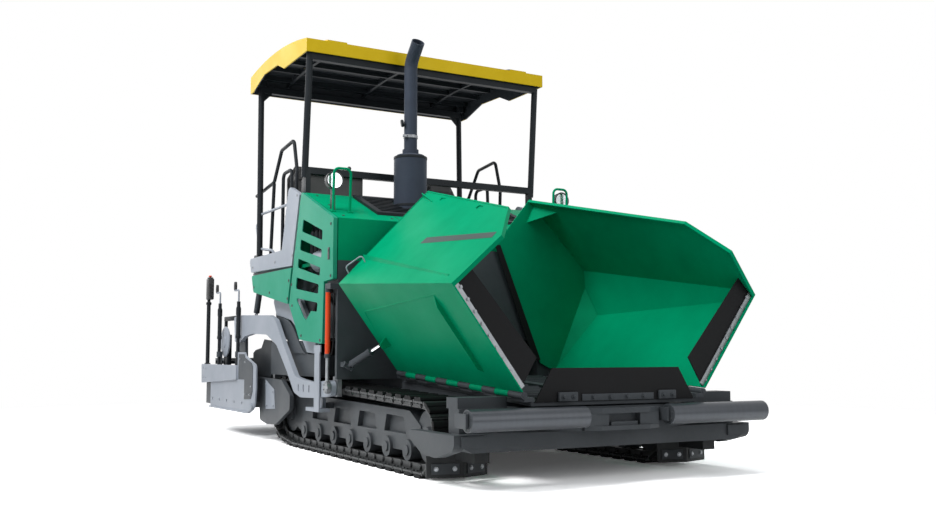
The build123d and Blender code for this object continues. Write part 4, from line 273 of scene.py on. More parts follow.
# record's material slot -> name, main colour, colour of the clouds, roughness, specular and dust of its enamel
ENAMELS = {
    "green_paint": ("bright_green_enamel", "#00A272", "#00986A", 0.38, 0.02, 0.0),      # hopper and hood
    # light_green_paint is the hood's green made lighter: painted sky light on the panels that catch the sky
    "light_green_paint": ("side_panel_green_enamel", "#2FA384", "#279B7B", 0.38, 0.06), # panels that catch the sky
    "yellow_paint": ("warm_yellow_gelcoat", "#E8C61A", "#E0BC12", 0.36, 0.12, 0.05),    # glass-fibre weather roof
    "dark_paint": ("dark_grey_chassis_enamel", "#4C5156", "#44494E", 0.45),             # semi-matt chassis
    "black_paint": ("black_frame_enamel", "#2B2F33", "#24282C", 0.42),                  # frames and posts
    "silver_paint": ("silver_grey_enamel", "#ABB2BD", "#A1A9B4", 0.4),                  # arms and side covers
    "orange_paint": ("signal_orange_enamel", "#FF5C33", "#F5522A", 0.36, 0.12, 0.12, 0.05),  # levelling cylinders
}
# record's material slot -> function that makes its finish
FINISHES = {
    "steel": rolled_steel,
    "chrome_rod": hard_chrome,
    "track_steel": track_iron,
    "black_rubber": conveyor_rubber,
    "seat_vinyl": seat_vinyl,
    "black_plastic": moulded_plastic,
}
made_finishes = {}


def finish_for(slot):
    """The material of a slot, made once."""
    if slot not in made_finishes:
        made_finishes[slot] = sprayed_enamel(*ENAMELS[slot]) if slot in ENAMELS else FINISHES[slot]()
    return made_finishes[slot]


# ---------------------------------------------------------------- mesh helpers
def add_object(name, data):
    """Put a mesh, lamp or camera in the scene as an object."""
    made = bpy.data.objects.new(name, data)
    bpy.context.scene.collection.objects.link(made)
    return made


def add_piece(name, shape, slot, body="machine_frame", finish=None, replaced=()):
    """Make a piece of the bmesh, which moves with the body and takes the finish of the slot."""
    bmesh.ops.recalc_face_normals(shape, faces=shape.faces)
    mesh = bpy.data.meshes.new(name)
    shape.to_mesh(mesh)
    shape.free()
    mesh.shade_smooth()
    mesh.set_sharp_from_angle(angle=SHARP_EDGE)
    piece = add_object(name, mesh)
    mesh.materials.append(finish or finish_for(slot))
    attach(piece, body)
    if replaced:
        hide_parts(*replaced)
    return piece


def frame_at(place, normal, along=(0, 0, 1)):
    """Matrix that puts local Z on the normal at the place, and local Y near the given direction."""
    rise = Vector(normal).normalized()
    side = Vector(along).cross(rise)
    if side.length < 0.01:
        side = Vector((1, 0, 0)).cross(rise)
    side.normalize()
    turn = Matrix((side, rise.cross(side), rise)).transposed().to_4x4()
    return Matrix.Translation(place) @ turn


def plate(shape, corners, depth):
    """Add a flat plate: its corners in order, pushed out by the vector depth."""
    front = [shape.verts.new(corner) for corner in corners]
    back = [shape.verts.new(Vector(corner) + Vector(depth)) for corner in corners]
    shape.faces.new(front)
    shape.faces.new(back[::-1])
    for number in range(len(front)):
        after = (number + 1) % len(front)
        shape.faces.new((front[after], front[number], back[number], back[after]))


def side_plate(shape, outline, y, thickness):
    """Add an upright plate of (x, z) corners, from y outward by a thickness."""
    plate(shape, [(x, y, z) for x, z in outline], (0, thickness, 0))


def both_halves(outline):
    """The corners of a symmetric outline, from those with Y below 0."""
    return outline + [(x, -y) for x, y in reversed(outline)]


def box(shape, low, high, bevel=0.0):
    """Add a box between two corners with its edges rounded off a little."""
    made = bmesh.ops.create_cube(shape, size=1.0)
    middle = (Vector(low) + Vector(high)) / 2
    size = Vector(high) - Vector(low)
    for vert in made["verts"]:
        vert.co = Vector((middle[axis] + vert.co[axis] * abs(size[axis]) for axis in range(3)))
    if bevel:
        edges = list(dict.fromkeys(edge for vert in made["verts"] for edge in vert.link_edges))
        bmesh.ops.bevel(shape, geom=edges, offset=bevel, segments=2, affect="EDGES", profile=0.5)


def turned(shape, profile, place, axis, sides=20):
    """Add a turned body from a profile of (radius, distance along the axis)."""
    turn = frame_at(place, axis)
    rings = []
    for radius, distance in profile:
        if radius < 1e-6:
            rings.append([shape.verts.new(turn @ Vector((0, 0, distance)))])
        else:
            rings.append([shape.verts.new(turn @ Vector((radius * math.cos(step), radius * math.sin(step), distance)))
                          for step in (2 * math.pi * number / sides for number in range(sides))])
    for first, second in zip(rings, rings[1:]):
        for number in range(sides):
            after = (number + 1) % sides
            corners = [first[number % len(first)], first[after % len(first)], second[after % len(second)],
                       second[number % len(second)]]
            unique = list(dict.fromkeys(corners))
            if len(unique) > 2:
                shape.faces.new(unique)
    for corners in (rings[0], rings[-1]):
        if len(corners) > 1:
            shape.faces.new(corners)


def upright(shape, profile, x, y, sides):
    """Add a body turned about an upright axis from a profile of (radius, height)."""
    turned(shape, profile, (x, y, 0), (0, 0, 1), sides)


def bolt(shape, place, normal, across=0.024):
    """Add a hexagon bolt head on its washer."""
    washer, rise = across * 0.95, across * 0.14
    turned(shape, [(washer, 0), (washer, rise), (across * 0.55, rise)], place, normal, 14)
    turned(shape, [(across * 0.577, across * 0.1), (across * 0.577, across * 0.6), (across * 0.45, across * 0.74),
                   (0, across * 0.74)], place, normal, 6)


def rounded(route, bend, steps=5):
    """The route with its corners rounded off by arcs that start at the bend distance before each corner."""
    points = [Vector(point) for point in route]
    made = [points[0]]
    for before, corner, after in zip(points, points[1:], points[2:]):
        reach = min(bend, (before - corner).length * 0.49, (after - corner).length * 0.49)
        start = corner + (before - corner).normalized() * reach
        end = corner + (after - corner).normalized() * reach
        for number in range(steps + 1):
            share = number / steps
            made.append(start.lerp(corner, share).lerp(corner.lerp(end, share), share))
    made.append(points[-1])
    return made


def pipe(shape, route, radius, sides=10, bend=0.0):
    """Add a round bar or tube along a route."""
    points = rounded(route, bend) if bend else [Vector(point) for point in route]
    rings = []
    side = None
    for number, point in enumerate(points):
        before, after = points[max(number - 1, 0)], points[min(number + 1, len(points) - 1)]
        direction = (after - before).normalized()
        if side is None:
            side = direction.orthogonal().normalized()
        side = (side - direction * side.dot(direction)).normalized()
        other = direction.cross(side)
        rings.append([shape.verts.new(point + radius * (math.cos(step) * side + math.sin(step) * other))
                      for step in (2 * math.pi * count / sides for count in range(sides))])
    for first, second in zip(rings, rings[1:]):
        for number in range(sides):
            after = (number + 1) % sides
            shape.faces.new((first[number], first[after], second[after], second[number]))
    shape.faces.new(rings[0][::-1])
    shape.faces.new(rings[-1])


surfaces = {}


def on_surface(node, place):
    """Nearest point on the node's surface and the normal there."""
    if node not in surfaces:
        shape = bmesh.new()
        shape.from_mesh(NODES[node].data)
        surfaces[node] = BVHTree.FromBMesh(shape)
        shape.free()
    location, normal, _, _ = surfaces[node].find_nearest(Vector(place))
    return location, normal


def facing(node, place, towards):
    """Point where a ray sent to the node against the direction hits it, and the normal there."""
    on_surface(node, place)
    towards = Vector(towards).normalized()
    location, normal, _, _ = surfaces[node].ray_cast(Vector(place) + towards * RAY_START, -towards)
    if location is None:
        raise RuntimeError(f"nothing of {node} at {tuple(place)}")
    return location, normal if normal.dot(towards) > 0 else -normal


def add_heads(shape, node, places, towards, profile, sides):
    """Add a turned head where a ray from each place meets the node."""
    for place in places:
        spot, normal = facing(node, place, towards)
        turned(shape, profile, spot, normal, sides)


def ring(centre, radius, start, count=6):
    """Places on an upright circle about an axis along Y, from a start in degrees."""
    turns = [math.radians(360 / count * number + start) for number in range(count)]
    return [(centre[0] + radius * math.cos(turn), centre[1], centre[2] + radius * math.sin(turn)) for turn in turns]


def left_and_right():
    """(name, sign of Y) of both sides of the machine."""
    return ("right", -1), ("left", 1)


# ---------------------------------------------------------------- sizes and colours a user may change
class PaverStageSettings(bpy.types.PropertyGroup):
    """Studio stage."""
    floor_bounce: StringProperty(name="Floor", description="sRGB hex colour with which the floor lights the machine",
                                 default="#C8C8C8")
    lens: FloatProperty(name="Lens", description="Focal length of the camera in millimetres", default=37.88)
    key_power: FloatProperty(name="Key light", description="Power of the key light", default=700.0, unit="POWER")
    sky: FloatProperty(name="Sky", description="Strength of the soft light from all around", default=0.3)
    floor_gain: FloatProperty(name="Floor gain", description="How much brighter the floor is seen than it lights",
                              default=2.4)
    floor_glow: FloatProperty(name="Floor glow", description="Light added to the floor as seen", default=0.05)


# ---------------------------------------------------------------- operators
def repaint(node, slot, chosen):
    """Give the faces that the function chooses the finish of another slot."""
    mesh = NODES[node].data
    mesh.materials.append(finish_for(slot))
    for face in mesh.polygons:
        face.material_index = int(chosen(face))


class PAVER_OT_finishes(bpy.types.Operator):
    """Give every solid of the frame the finish of its material slot."""
    bl_idname = "paver.finishes"
    bl_label = "Finishes"

    def execute(self, context):
        for part in frame["record"]["subparts"]:
            mesh = NODES[part["node"]].data
            mesh.materials.clear()
            mesh.materials.append(finish_for(part["material_slot"]))
        # the inside of the roof's shell is unpainted grey
        low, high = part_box("canopy_roof")
        middle = (low + high) / 2
        repaint("canopy_roof", "dark_paint", lambda face: face.normal.dot(face.center - middle) < 0)
        # the ends and the brackets of the levelling cylinders are dark
        low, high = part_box("levelling_cylinders")
        repaint("levelling_cylinders", "dark_paint",
                lambda face: face.center.z < low.z + 0.035 or face.center.z > high.z - 0.07)
        for name, _ in left_and_right():
            NODES[f"push_roller_{name}"].data.materials[0] = roller_steel()
        NODES["exhaust"].data.materials[0] = exhaust_paint()
        # the posts of the height cranks are black up to their bare handles
        for name, _ in left_and_right():
            corners = NODES[f"end_gate_{name}"].data.vertices
            repaint(f"end_gate_{name}", "black_paint", lambda face: CRANK_POST[0] < max(
                corners[index].co.z for index in face.vertices) < CRANK_POST[1])
        return {"FINISHED"}


class PaverTrackSettings(bpy.types.PropertyGroup):
    """Crawler tracks."""
    shoe_count: IntProperty(name="Shoes", description="Number of shoes on a track", default=47, min=12)
    pad_thickness: FloatProperty(name="Pad", description="Height of the pad on a shoe", default=0.026, unit="LENGTH")


PAD_RISE = 0.021                          # of the pad faces over the line that the shoes are laid on
ARC_STEP = 0.02                           # distance between the loop's points round a wheel
SHOE_REACH = 0.46                         # of a shoe either way from its middle, as a share of the pitch
# the loop runs round the idler, the sprocket and the first roller, (x, z, radius over the pads)
LOOP_WHEELS = ((2.2, 0.275, 0.275), (-0.66, 0.335, 0.3), (-0.38, 0.12, 0.12))


def track_loop(inset):
    """Points and outward normals along the track's loop, drawn in from the pad faces."""
    runs = []
    for (x, z, radius), (next_x, next_z, next_radius) in zip(LOOP_WHEELS, LOOP_WHEELS[1:] + LOOP_WHEELS[:1]):
        reach = Vector((next_x - x, next_z - z))
        lean = (radius - next_radius) / reach.length
        along = reach.normalized()
        outward = along * lean + Vector((along.y, -along.x)) * math.sqrt(1 - lean * lean)
        runs.append((Vector((x, z)) + outward * (radius - inset),
                     Vector((next_x, next_z)) + outward * (next_radius - inset), outward))
    points = []
    for number, (start, end, outward) in enumerate(runs):
        points += [(start, outward), (end, outward)]
        x, z, radius = LOOP_WHEELS[(number + 1) % 3]
        after = runs[(number + 1) % 3][2]
        swing = math.atan2(outward.cross(after), outward.dot(after)) % (2 * math.pi)
        steps = max(2, int(swing * radius / ARC_STEP))
        for step in range(1, steps):
            normal = Matrix.Rotation(swing * step / steps, 2) @ outward
            points.append((Vector((x, z)) + normal * (radius - inset), normal))
    return points


def along_loop(points, distance):
    """Place and outward normal at a distance along the loop."""
    for (start, normal), (end, next_normal) in zip(points, points[1:] + points[:1]):
        length = (end - start).length
        if distance <= length:
            share = distance / length if length else 0.0
            return start.lerp(end, share), normal.lerp(next_normal, share).normalized()
        distance -= length
    return points[0]


def add_shoe(iron, pads, place, normal, middle_y, half_width, reach, pad_thickness):
    """Add one steel shoe that reaches both ways along the loop, its pad and the bolts that hold it."""
    along = Vector((normal.y, -normal.x))

    def at(run, across, rise):
        spot = place + along * run + normal * rise
        return Vector((spot.x, middle_y + across, max(spot.y, AIR)))

    def across_plate(shape, section, half):
        front = [at(run, -half, rise) for run, rise in section]
        plate(shape, front, Vector((0, 2 * half, 0)))

    across_plate(iron, [(-reach, -0.02), (reach, -0.02), (reach, -0.009), (reach - 0.012, -0.006),
                        (0.016 - reach, -0.006), (0.010 - reach, 0.001), (-reach, 0.001)], half_width - 0.004)
    top = pad_thickness - 0.006
    across_plate(pads, [(-0.048, -0.007), (0.048, -0.007), (0.050, 0.006), (0.044, top - 0.003), (0.038, top),
                        (0.006, top), (0.003, top - 0.005), (-0.003, top - 0.005), (-0.006, top), (-0.038, top),
                        (-0.044, top - 0.003), (-0.050, 0.006)], half_width - 0.001)
    for across in (-0.125, 0.125):
        for run in (-0.052, 0.052):
            spot = at(run, across, -0.02)
            turned(iron, [(0.011, 0), (0.011, 0.009), (0.0, 0.009)], spot, Vector((-normal.x, 0, -normal.y)), 6)


def add_links(iron, normal, ahead, behind, middle_y):
    """Add the two link plates under a shoe, and the bushing that joins them to the next."""
    drop = 0.042
    for side in (-1, 1):
        outline = []
        for spot, start in ((ahead, -90), (behind, 90)):
            centre = spot - normal * drop
            along = Vector((normal.y, -normal.x))
            for step in range(5):
                angle = math.radians(start + 45 * step)
                outline.append(centre + along * math.cos(angle) * 0.026 + normal * math.sin(angle) * 0.022)
        y = middle_y + side * 0.062
        plate(iron, [(spot.x, y, spot.y) for spot in outline], (0, side * 0.02, 0))
    centre = ahead - normal * drop
    for radius, half, sides in ((0.018, 0.088, 12), (0.012, 0.093, 10)):
        turned(iron, [(radius, -half), (radius, half)], (centre.x, middle_y, centre.y), (0, 1, 0), sides)


class PAVER_OT_tracks(bpy.types.Operator):
    """Lay shoes with bolted pads on link chains round both track frames."""
    bl_idname = "paver.tracks"
    bl_label = "Crawler tracks"

    def execute(self, context):
        settings = context.scene.paver_track
        points = track_loop(PAD_RISE)
        length = sum((after[0] - before[0]).length for before, after in zip(points, points[1:] + points[:1]))
        pitch = length / settings.shoe_count
        for name, _ in left_and_right():
            low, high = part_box(f"crawler_track_{name}")
            middle_y = (low.y + high.y) / 2
            half_width = (high.y - low.y) / 2
            iron, pads = bmesh.new(), bmesh.new()
            for number in range(settings.shoe_count):
                place, normal = along_loop(points, number * pitch)
                add_shoe(iron, pads, place, normal, middle_y, half_width, pitch * SHOE_REACH,
                         settings.pad_thickness)
                ahead, _ = along_loop(points, (number + 0.5) * pitch)
                behind, _ = along_loop(points, (number - 0.5) % settings.shoe_count * pitch)
                add_links(iron, normal, ahead, behind, middle_y)
            add_piece(f"track_shoes_{name}", iron, "track_steel", replaced=(f"crawler_track_{name}",))
            add_piece(f"track_pads_{name}", pads, "black_rubber")
        return {"FINISHED"}


class PaverSeatSettings(bpy.types.PropertyGroup):
    """Operator's seats."""
    cushion: FloatProperty(name="Cushion", description="Thickness of the seat cushion", default=0.1, unit="LENGTH")
    backrest: FloatProperty(name="Backrest", description="Thickness of the backrest", default=0.07, unit="LENGTH")
    swell: FloatProperty(name="Swell", description="Most that the foam stands out of its cut", default=0.022,
                         unit="LENGTH")


def foam_pad(name, outline, thickness, swell):
    """A stuffed pad: a flat cut of (x, y) corners that pressure fills, in its own place, lying on Z = 0."""
    shape = bmesh.new()
    plate(shape, [(x, y, 0.0) for x, y in outline], (0, 0, thickness))
    bmesh.ops.recalc_face_normals(shape, faces=shape.faces)
    bmesh.ops.bevel(shape, geom=list(shape.edges), offset=thickness * 0.2, segments=2, affect="EDGES", profile=0.5)
    mesh = bpy.data.meshes.new(name)
    shape.to_mesh(mesh)
    shape.free()
    pad = add_object(name, mesh)
    remesh = pad.modifiers.new("remesh", "REMESH")
    remesh.mode = "VOXEL"
    remesh.voxel_size = FOAM_VOXEL
    bake_modifiers(pad)
    start = [vert.co.copy() for vert in pad.data.vertices]
    cloth = pad.modifiers.new("cloth", "CLOTH")
    cloth.settings.use_pressure = True
    cloth.settings.uniform_pressure_force = CLOTH_PRESSURE
    cloth.settings.effector_weights.gravity = 0.0
    for number in range(1, CLOTH_FRAMES + 1):
        bpy.context.scene.frame_set(number)
    bake_modifiers(pad)
    bpy.context.scene.frame_set(1)
    for vert, before in zip(pad.data.vertices, start):
        step = vert.co - before
        if step.length > swell:
            vert.co = before + step * (swell / step.length)
    return pad


def bake_modifiers(piece):
    """Turn what the modifiers show into the piece's own mesh."""
    graph = bpy.context.evaluated_depsgraph_get()
    mesh = bpy.data.meshes.new_from_object(piece.evaluated_get(graph), depsgraph=graph)
    piece.modifiers.clear()
    piece.data = mesh


def press_seams(pad, lines, width, depth):
    """Press sewn channels into the pad's top: each line is (axis, place, from, to) across the other axis."""
    for vert in pad.data.vertices:
        sunk = 0.0
        for axis, place, start, end in lines:
            other = vert.co[1 - axis]
            if start <= other <= end:
                sunk = max(sunk, math.exp(-((vert.co[axis] - place) / width) ** 2))
        if vert.co.z > 0:
            vert.co.z -= depth * sunk


def place_pad(cut, name, place):
    """Put a copy of the stuffed cut in its place as a piece of its own."""
    pad = add_object(name, cut.data.copy())
    pad.data.transform(place)
    pad.data.materials.clear()
    pad.data.materials.append(finish_for("seat_vinyl"))
    pad.data.shade_smooth()
    smooth = pad.modifiers.new("smooth", "SUBSURF")
    smooth.levels = smooth.render_levels = 1
    bake_modifiers(pad)
    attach(pad, "machine_frame")
    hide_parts("operator_seats")


def add_seat_frame(name, y):
    """Add a seat's shells, its armrests and the bellows over its suspension."""
    shell = bmesh.new()
    box(shell, (-1.045, y - 0.235, 2.051), (-0.56, y + 0.235, 2.075), 0.008)
    plate(shell, [(-1.098, y - 0.21, 2.08), (-1.098, y + 0.21, 2.08), (-1.146, y + 0.2, 2.6),
                  (-1.149, y + 0.12, 2.735), (-1.149, y - 0.12, 2.735), (-1.146, y - 0.2, 2.6)], (0.022, 0, 0.002))
    box(shell, (-1.098, y - 0.17, 2.055), (-1.03, y + 0.17, 2.1), 0.006)
    arms = (y - 0.246, y + 0.246)
    for arm_y in arms:
        box(shell, (-0.99, arm_y - 0.012, 2.1), (-0.95, arm_y + 0.012, 2.19), 0.004)
    # scissors suspension under pleated bellows
    pleats = []
    for number in range(7):
        z = 1.8 + number * 0.036
        pleats += [(0.155, z), (0.185, z + 0.018)]
    upright(shell, [(0.15, 1.752), *pleats, (0.16, 2.05)], -0.8, y, 28)
    box(shell, (-1.0, y - 0.19, 1.7), (-0.6, y + 0.19, 1.752), 0.006)
    for rail_y in (y - 0.13, y + 0.13):
        box(shell, (-1.03, rail_y - 0.02, 1.6515), (-0.57, rail_y + 0.02, 1.7), 0.003)
    add_piece(f"seat_frame_{name}", shell, "black_plastic")
    rests = bmesh.new()
    for arm_y in arms:
        box(rests, (-1.0, arm_y - 0.018, 2.178), (-0.6, arm_y + 0.018, 2.21), 0.01)
    add_piece(f"seat_armrests_{name}", rests, "seat_vinyl")


class PAVER_OT_seats(bpy.types.Operator):
    """Two suspended seats with stuffed cushions, in vinyl."""
    bl_idname = "paver.seats"
    bl_label = "Seats"

    def execute(self, context):
        settings = context.scene.paver_seat
        seat_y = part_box("operator_seats")[1].y - 0.265
        # the cuts are thinner than the pads, which swell when they are stuffed
        cushion = foam_pad("cushion_cut", both_halves([(-0.245, -0.2), (-0.16, -0.232), (0.2, -0.232), (0.25, -0.19)]),
                           settings.cushion * 0.62, settings.swell * 0.8)
        press_seams(cushion, [(1, -0.14, -0.24, 0.24), (1, 0.14, -0.24, 0.24), (0, 0.09, -0.14, 0.14),
                              (0, -0.07, -0.14, 0.14)], 0.009, 0.012)
        back = foam_pad("backrest_cut", both_halves([(0.0, -0.22), (0.42, -0.2), (0.56, -0.13), (0.585, -0.09)]),
                        settings.backrest * 0.6, settings.swell * 0.7)
        press_seams(back, [(1, -0.13, 0.02, 0.5), (1, 0.13, 0.02, 0.5), (0, 0.15, -0.13, 0.13), (0, 0.29, -0.13, 0.13),
                           (0, 0.43, -0.13, 0.13)], 0.009, 0.010)
        lean = math.atan2(0.07, 0.69)
        standing = Matrix(((0, 0, 1, 0), (0, 1, 0, 0), (1, 0, 0, 0), (0, 0, 0, 1)))
        for name, side in left_and_right():
            y = side * seat_y
            place_pad(cushion, f"seat_cushion_{name}", Matrix.Translation((-0.795, y, 2.076)))
            place = Matrix.Translation((-1.058, y, 2.145)) @ Matrix.Rotation(-lean, 4, "Y")
            place_pad(back, f"seat_backrest_{name}", place @ standing)
            add_seat_frame(name, y)
        for cut in (cushion, back):
            bpy.data.objects.remove(cut)
        return {"FINISHED"}


class PaverTrimSettings(bpy.types.PropertyGroup):
    """Trim and fasteners."""
    stripe: StringProperty(name="Stripe", description="sRGB hex colour of the stripe on the hopper", default="#4B5B58")
    bolt_size: FloatProperty(name="Bolts", description="Width across the flats of the panel bolts", default=0.02,
                             unit="LENGTH")


def stripe_film(colour):
    """Adhesive vinyl film: one flat colour with a low even gloss and no orange peel."""
    return clouded("cast_vinyl_film", (400, 2.0), (colour, "#44524F"), (0.42, 0.42), ior=1.5, specular=0.15)


def add_strip_bolts(name, node, body):
    """Add the dome-headed bolts that clamp the apron under its steel strip."""
    heads = bmesh.new()
    spots = [vert.co.copy() for vert in NODES[node].data.vertices]
    front_x = max(spot.x for spot in spots)
    low = min(spots, key=lambda spot: spot.z)
    high = max(spots, key=lambda spot: spot.z)
    count = 9
    row = [low.lerp(high, (number + 0.5) / count) for number in range(count)]
    add_heads(heads, node, [(front_x, spot.y, spot.z) for spot in row], (1, 0, 0),
              [(0.013, 0), (0.013, 0.003), (0.010, 0.003), (0.009, 0.008), (0.0, 0.010)], 12)
    add_piece(f"strip_bolts_{name}", heads, "steel", body)


def add_edge_seal(name, side, node, body):
    """Add the black rubber lip clamped along the rear edge of the wing."""
    lip = bmesh.new()
    rear_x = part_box(node)[0].x
    corners = [(rear_x + 0.012, side * y, z)
               for y, z in ((0.142, 1.770), (0.192, 1.773), (0.595, 0.791), (0.526, 0.791))]
    plate(lip, [(on_surface(node, (x, y, z))[0].x + 0.001, y, z) for x, y, z in corners], (0.006, 0, 0))
    add_piece(f"wing_seal_{name}", lip, "black_rubber", body)


class PAVER_OT_wing_trim(bpy.types.Operator):
    """Stripe, seals, loops and clamp bolts of the hopper wings."""
    bl_idname = "paver.wing_trim"
    bl_label = "Hopper wing trim"

    def execute(self, context):
        settings = context.scene.paver_trim
        stripe = bmesh.new()
        corners = []
        for x, y, z in ((1.963, -0.981, 1.643), (1.982, -0.936, 1.687), (2.988, -0.944, 1.621), (2.990, -0.981, 1.582)):
            spot, normal = on_surface("hopper_wing_right", (x, y, z))
            outward = normal if normal.y < 0 else -normal
            corners.append(spot + outward * 0.0008)
        plate(stripe, corners, outward * 0.0006)
        add_piece("wing_stripe", stripe, "dark_paint", "right_wing", finish=stripe_film(settings.stripe))
        for name, side in left_and_right():
            body = f"{name}_wing"
            add_strip_bolts(name, f"apron_strip_{name}", body)
            add_edge_seal(name, side, f"hopper_wing_{name}", body)
            loop = bmesh.new()
            start, end = (on_surface(f"hopper_wing_{name}", spot)[0]
                          for spot in ((1.132, side * 1.194, 1.475), (1.24, side * 1.102, 1.561)))
            lift = Vector((0, side * 0.03, 0.05))
            pipe(loop, [start, start + lift, end + lift, end], 0.006, 8, bend=0.03)
            add_piece(f"wing_loop_{name}", loop, "silver_paint", body)
        return {"FINISHED"}


def add_roller_ends(name):
    """Add the end caps of a push roller with their six screws."""
    low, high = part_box(f"push_roller_{name}")
    middle = (low + high) / 2
    radius = (high.z - low.z) / 2
    caps = bmesh.new()
    for y, out in ((low.y, -1), (high.y, 1)):
        turned(caps, [(radius * 0.98, -0.004), (radius * 0.98, 0), (radius * 0.9, 0.0015), (radius * 0.86, 0.0015),
                      (radius * 0.84, 0.0005), (radius * 0.45, 0.0005)], (middle.x, y, middle.z), (0, out, 0), 32)
        for spot in ring((middle.x, y, middle.z), radius * 0.65, 15):
            turned(caps, [(0.008, 0), (0.008, 0.004), (0, 0.0045)], spot, (0, out, 0), 6)
    add_piece(f"roller_caps_{name}", caps, "dark_paint", f"{name}_roller")


def add_deflector_plates(name, side):
    """Add the wear plates bolted to the front of a track deflector."""
    plates, heads = bmesh.new(), bmesh.new()
    front_x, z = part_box("track_deflectors")[1].x, 0.095
    for from_y, to_y, bolts in ((0.765, 0.925, (0.795, 0.895)), (0.985, 1.165, (1.015, 1.135))):
        corners = [facing("track_deflectors", (front_x, side * y, z + rise), (1, 0, 0))[0]
                   for y, rise in ((from_y, -0.035), (to_y, -0.035), (to_y, 0.035), (from_y, 0.035))]
        flat = (corners[1] - corners[0]).cross(corners[3] - corners[0]).normalized()
        flat = flat if flat.x > 0 else -flat
        plate(plates, [corner + flat * AIR for corner in corners], flat * 0.006)
        for y in bolts:
            spot, _ = facing("track_deflectors", (front_x, side * y, z), (1, 0, 0))
            turned(heads, [(0.016, 0), (0.016, 0.003), (0.013, 0.003), (0.011, 0.009), (0, 0.011)],
                   spot + flat * 0.0065, flat, 12)
    add_piece(f"deflector_plates_{name}", plates, "dark_paint")
    add_piece(f"deflector_bolts_{name}", heads, "steel")


class PAVER_OT_front_trim(bpy.types.Operator):
    """Clamp bar of the centre apron, end caps of the push rollers and plates on the deflectors."""
    bl_idname = "paver.front_trim"
    bl_label = "Front trim"

    def execute(self, context):
        bolt_size = context.scene.paver_trim.bolt_size
        # bar that clamps the foot of the centre apron, with a block on each end
        low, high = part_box("centre_apron")
        bar = bmesh.new()
        foot = low.z + 0.004
        front = facing("centre_apron", (high.x, 0.0, foot + 0.02), (1, 0, 0))[0].x
        box(bar, (front + AIR, -0.30, foot), (front + 0.008, 0.30, foot + 0.045), 0.002)
        for number in range(4):
            bolt(bar, (front + 0.008, -0.21 + 0.14 * number, foot + 0.022), (1, 0, 0), bolt_size)
        for side in (-1, 1):
            box(bar, (front + AIR, side * 0.34, foot), (front + 0.02, side * 0.49, foot + 0.06), 0.004)
            for y in (0.375, 0.455):
                bolt(bar, (front + 0.02, side * y, foot + 0.03), (1, 0, 0), bolt_size)
        add_piece("apron_clamp", bar, "dark_paint")
        for name, side in left_and_right():
            add_roller_ends(name)
            add_deflector_plates(name, side)
        return {"FINISHED"}


def add_door_latch(name, side):
    """Add the folding key latch near the front edge of a side door."""
    latch = bmesh.new()
    spot, _ = facing(f"side_door_{name}", (0.80, side * 1.25, 1.66), (0, side, 0))
    box(latch, spot + Vector((-0.02, 0, -0.05)), spot + Vector((0.02, side * 0.005, 0.05)), 0.002)
    turned(latch, [(0.012, 0.005), (0.012, 0.008), (0.006, 0.0085), (0, 0.0085)], spot + Vector((0, 0, 0.025)),
           (0, side, 0), 16)
    add_piece(f"door_latch_{name}", latch, "black_plastic", f"{name}_door")


def add_arm_side(name, side):
    """Add a dark plate above the tow arm as painted shade of the arm's top face, the plate behind it and the plate on
    the rear guard.
    """
    painted_shade, rear, cover = bmesh.new(), bmesh.new(), bmesh.new()
    # dark plate on the side cover along the tow arm: painted shade of the arm's top face
    side_plate(painted_shade, [(-0.827, 1.19), (-0.70, 1.188), (-0.571, 1.176), (-0.48, 1.158), (-0.405, 1.131),
                        (-0.32, 1.085), (-0.242, 1.024), (-0.15, 0.945), (-0.063, 0.881), (0.0, 0.853),
                        (0.032, 0.844), (-0.272, 0.85), (-0.38, 0.90), (-0.478, 0.975), (-0.58, 1.05),
                        (-0.692, 1.098), (-0.82, 1.12)], side * 1.1345, side * 0.012)
    add_piece(f"arm_painted_shade_{name}", painted_shade, "dark_paint")
    # its top dips at the rear, where the lift cylinder's rod comes down
    side_plate(rear, [(-1.60, 0.62), (-1.0, 0.62), (-0.985, 0.93), (-1.02, 0.97), (-1.24, 0.985), (-1.33, 0.90),
                      (-1.52, 0.88), (-1.60, 0.85)], side * 1.1105, side * 0.012)
    add_piece(f"auger_side_plate_{name}", rear, "black_paint")
    outer = facing("track_guards", (-0.88, side * 1.2, 0.42), (0, side, 0))[0].y
    side_plate(cover, [(-1.034, 0.593), (-0.764, 0.506), (-0.732, 0.326), (-1.016, 0.312)], outer + side * AIR,
               side * 0.003)
    for x, z in ((-1.0, 0.55), (-0.79, 0.48), (-0.77, 0.35), (-0.98, 0.345)):
        bolt(cover, (x, outer + side * 0.0035, z), (0, side, 0), 0.014)
    add_piece(f"guard_plate_{name}", cover, "silver_paint")


def add_grab_rails(name, side):
    """Add the silver grab rails beside the operator's place."""
    rails = bmesh.new()
    y = side * 1.14
    pipe(rails, [(-1.40, y, 2.253), (-0.50, y, 2.245), (-0.45, y - side * 0.03, 2.245)], 0.013, 12, bend=0.03)
    pipe(rails, [(-1.42, y - side * 0.02, 2.17), (-1.51, y, 2.17), (-1.41, y, 1.907), (-0.98, y, 1.851),
                 (-0.95, y - side * 0.02, 1.80)], 0.013, 12, bend=0.06)
    add_piece(f"grab_rails_{name}", rails, "silver_paint")


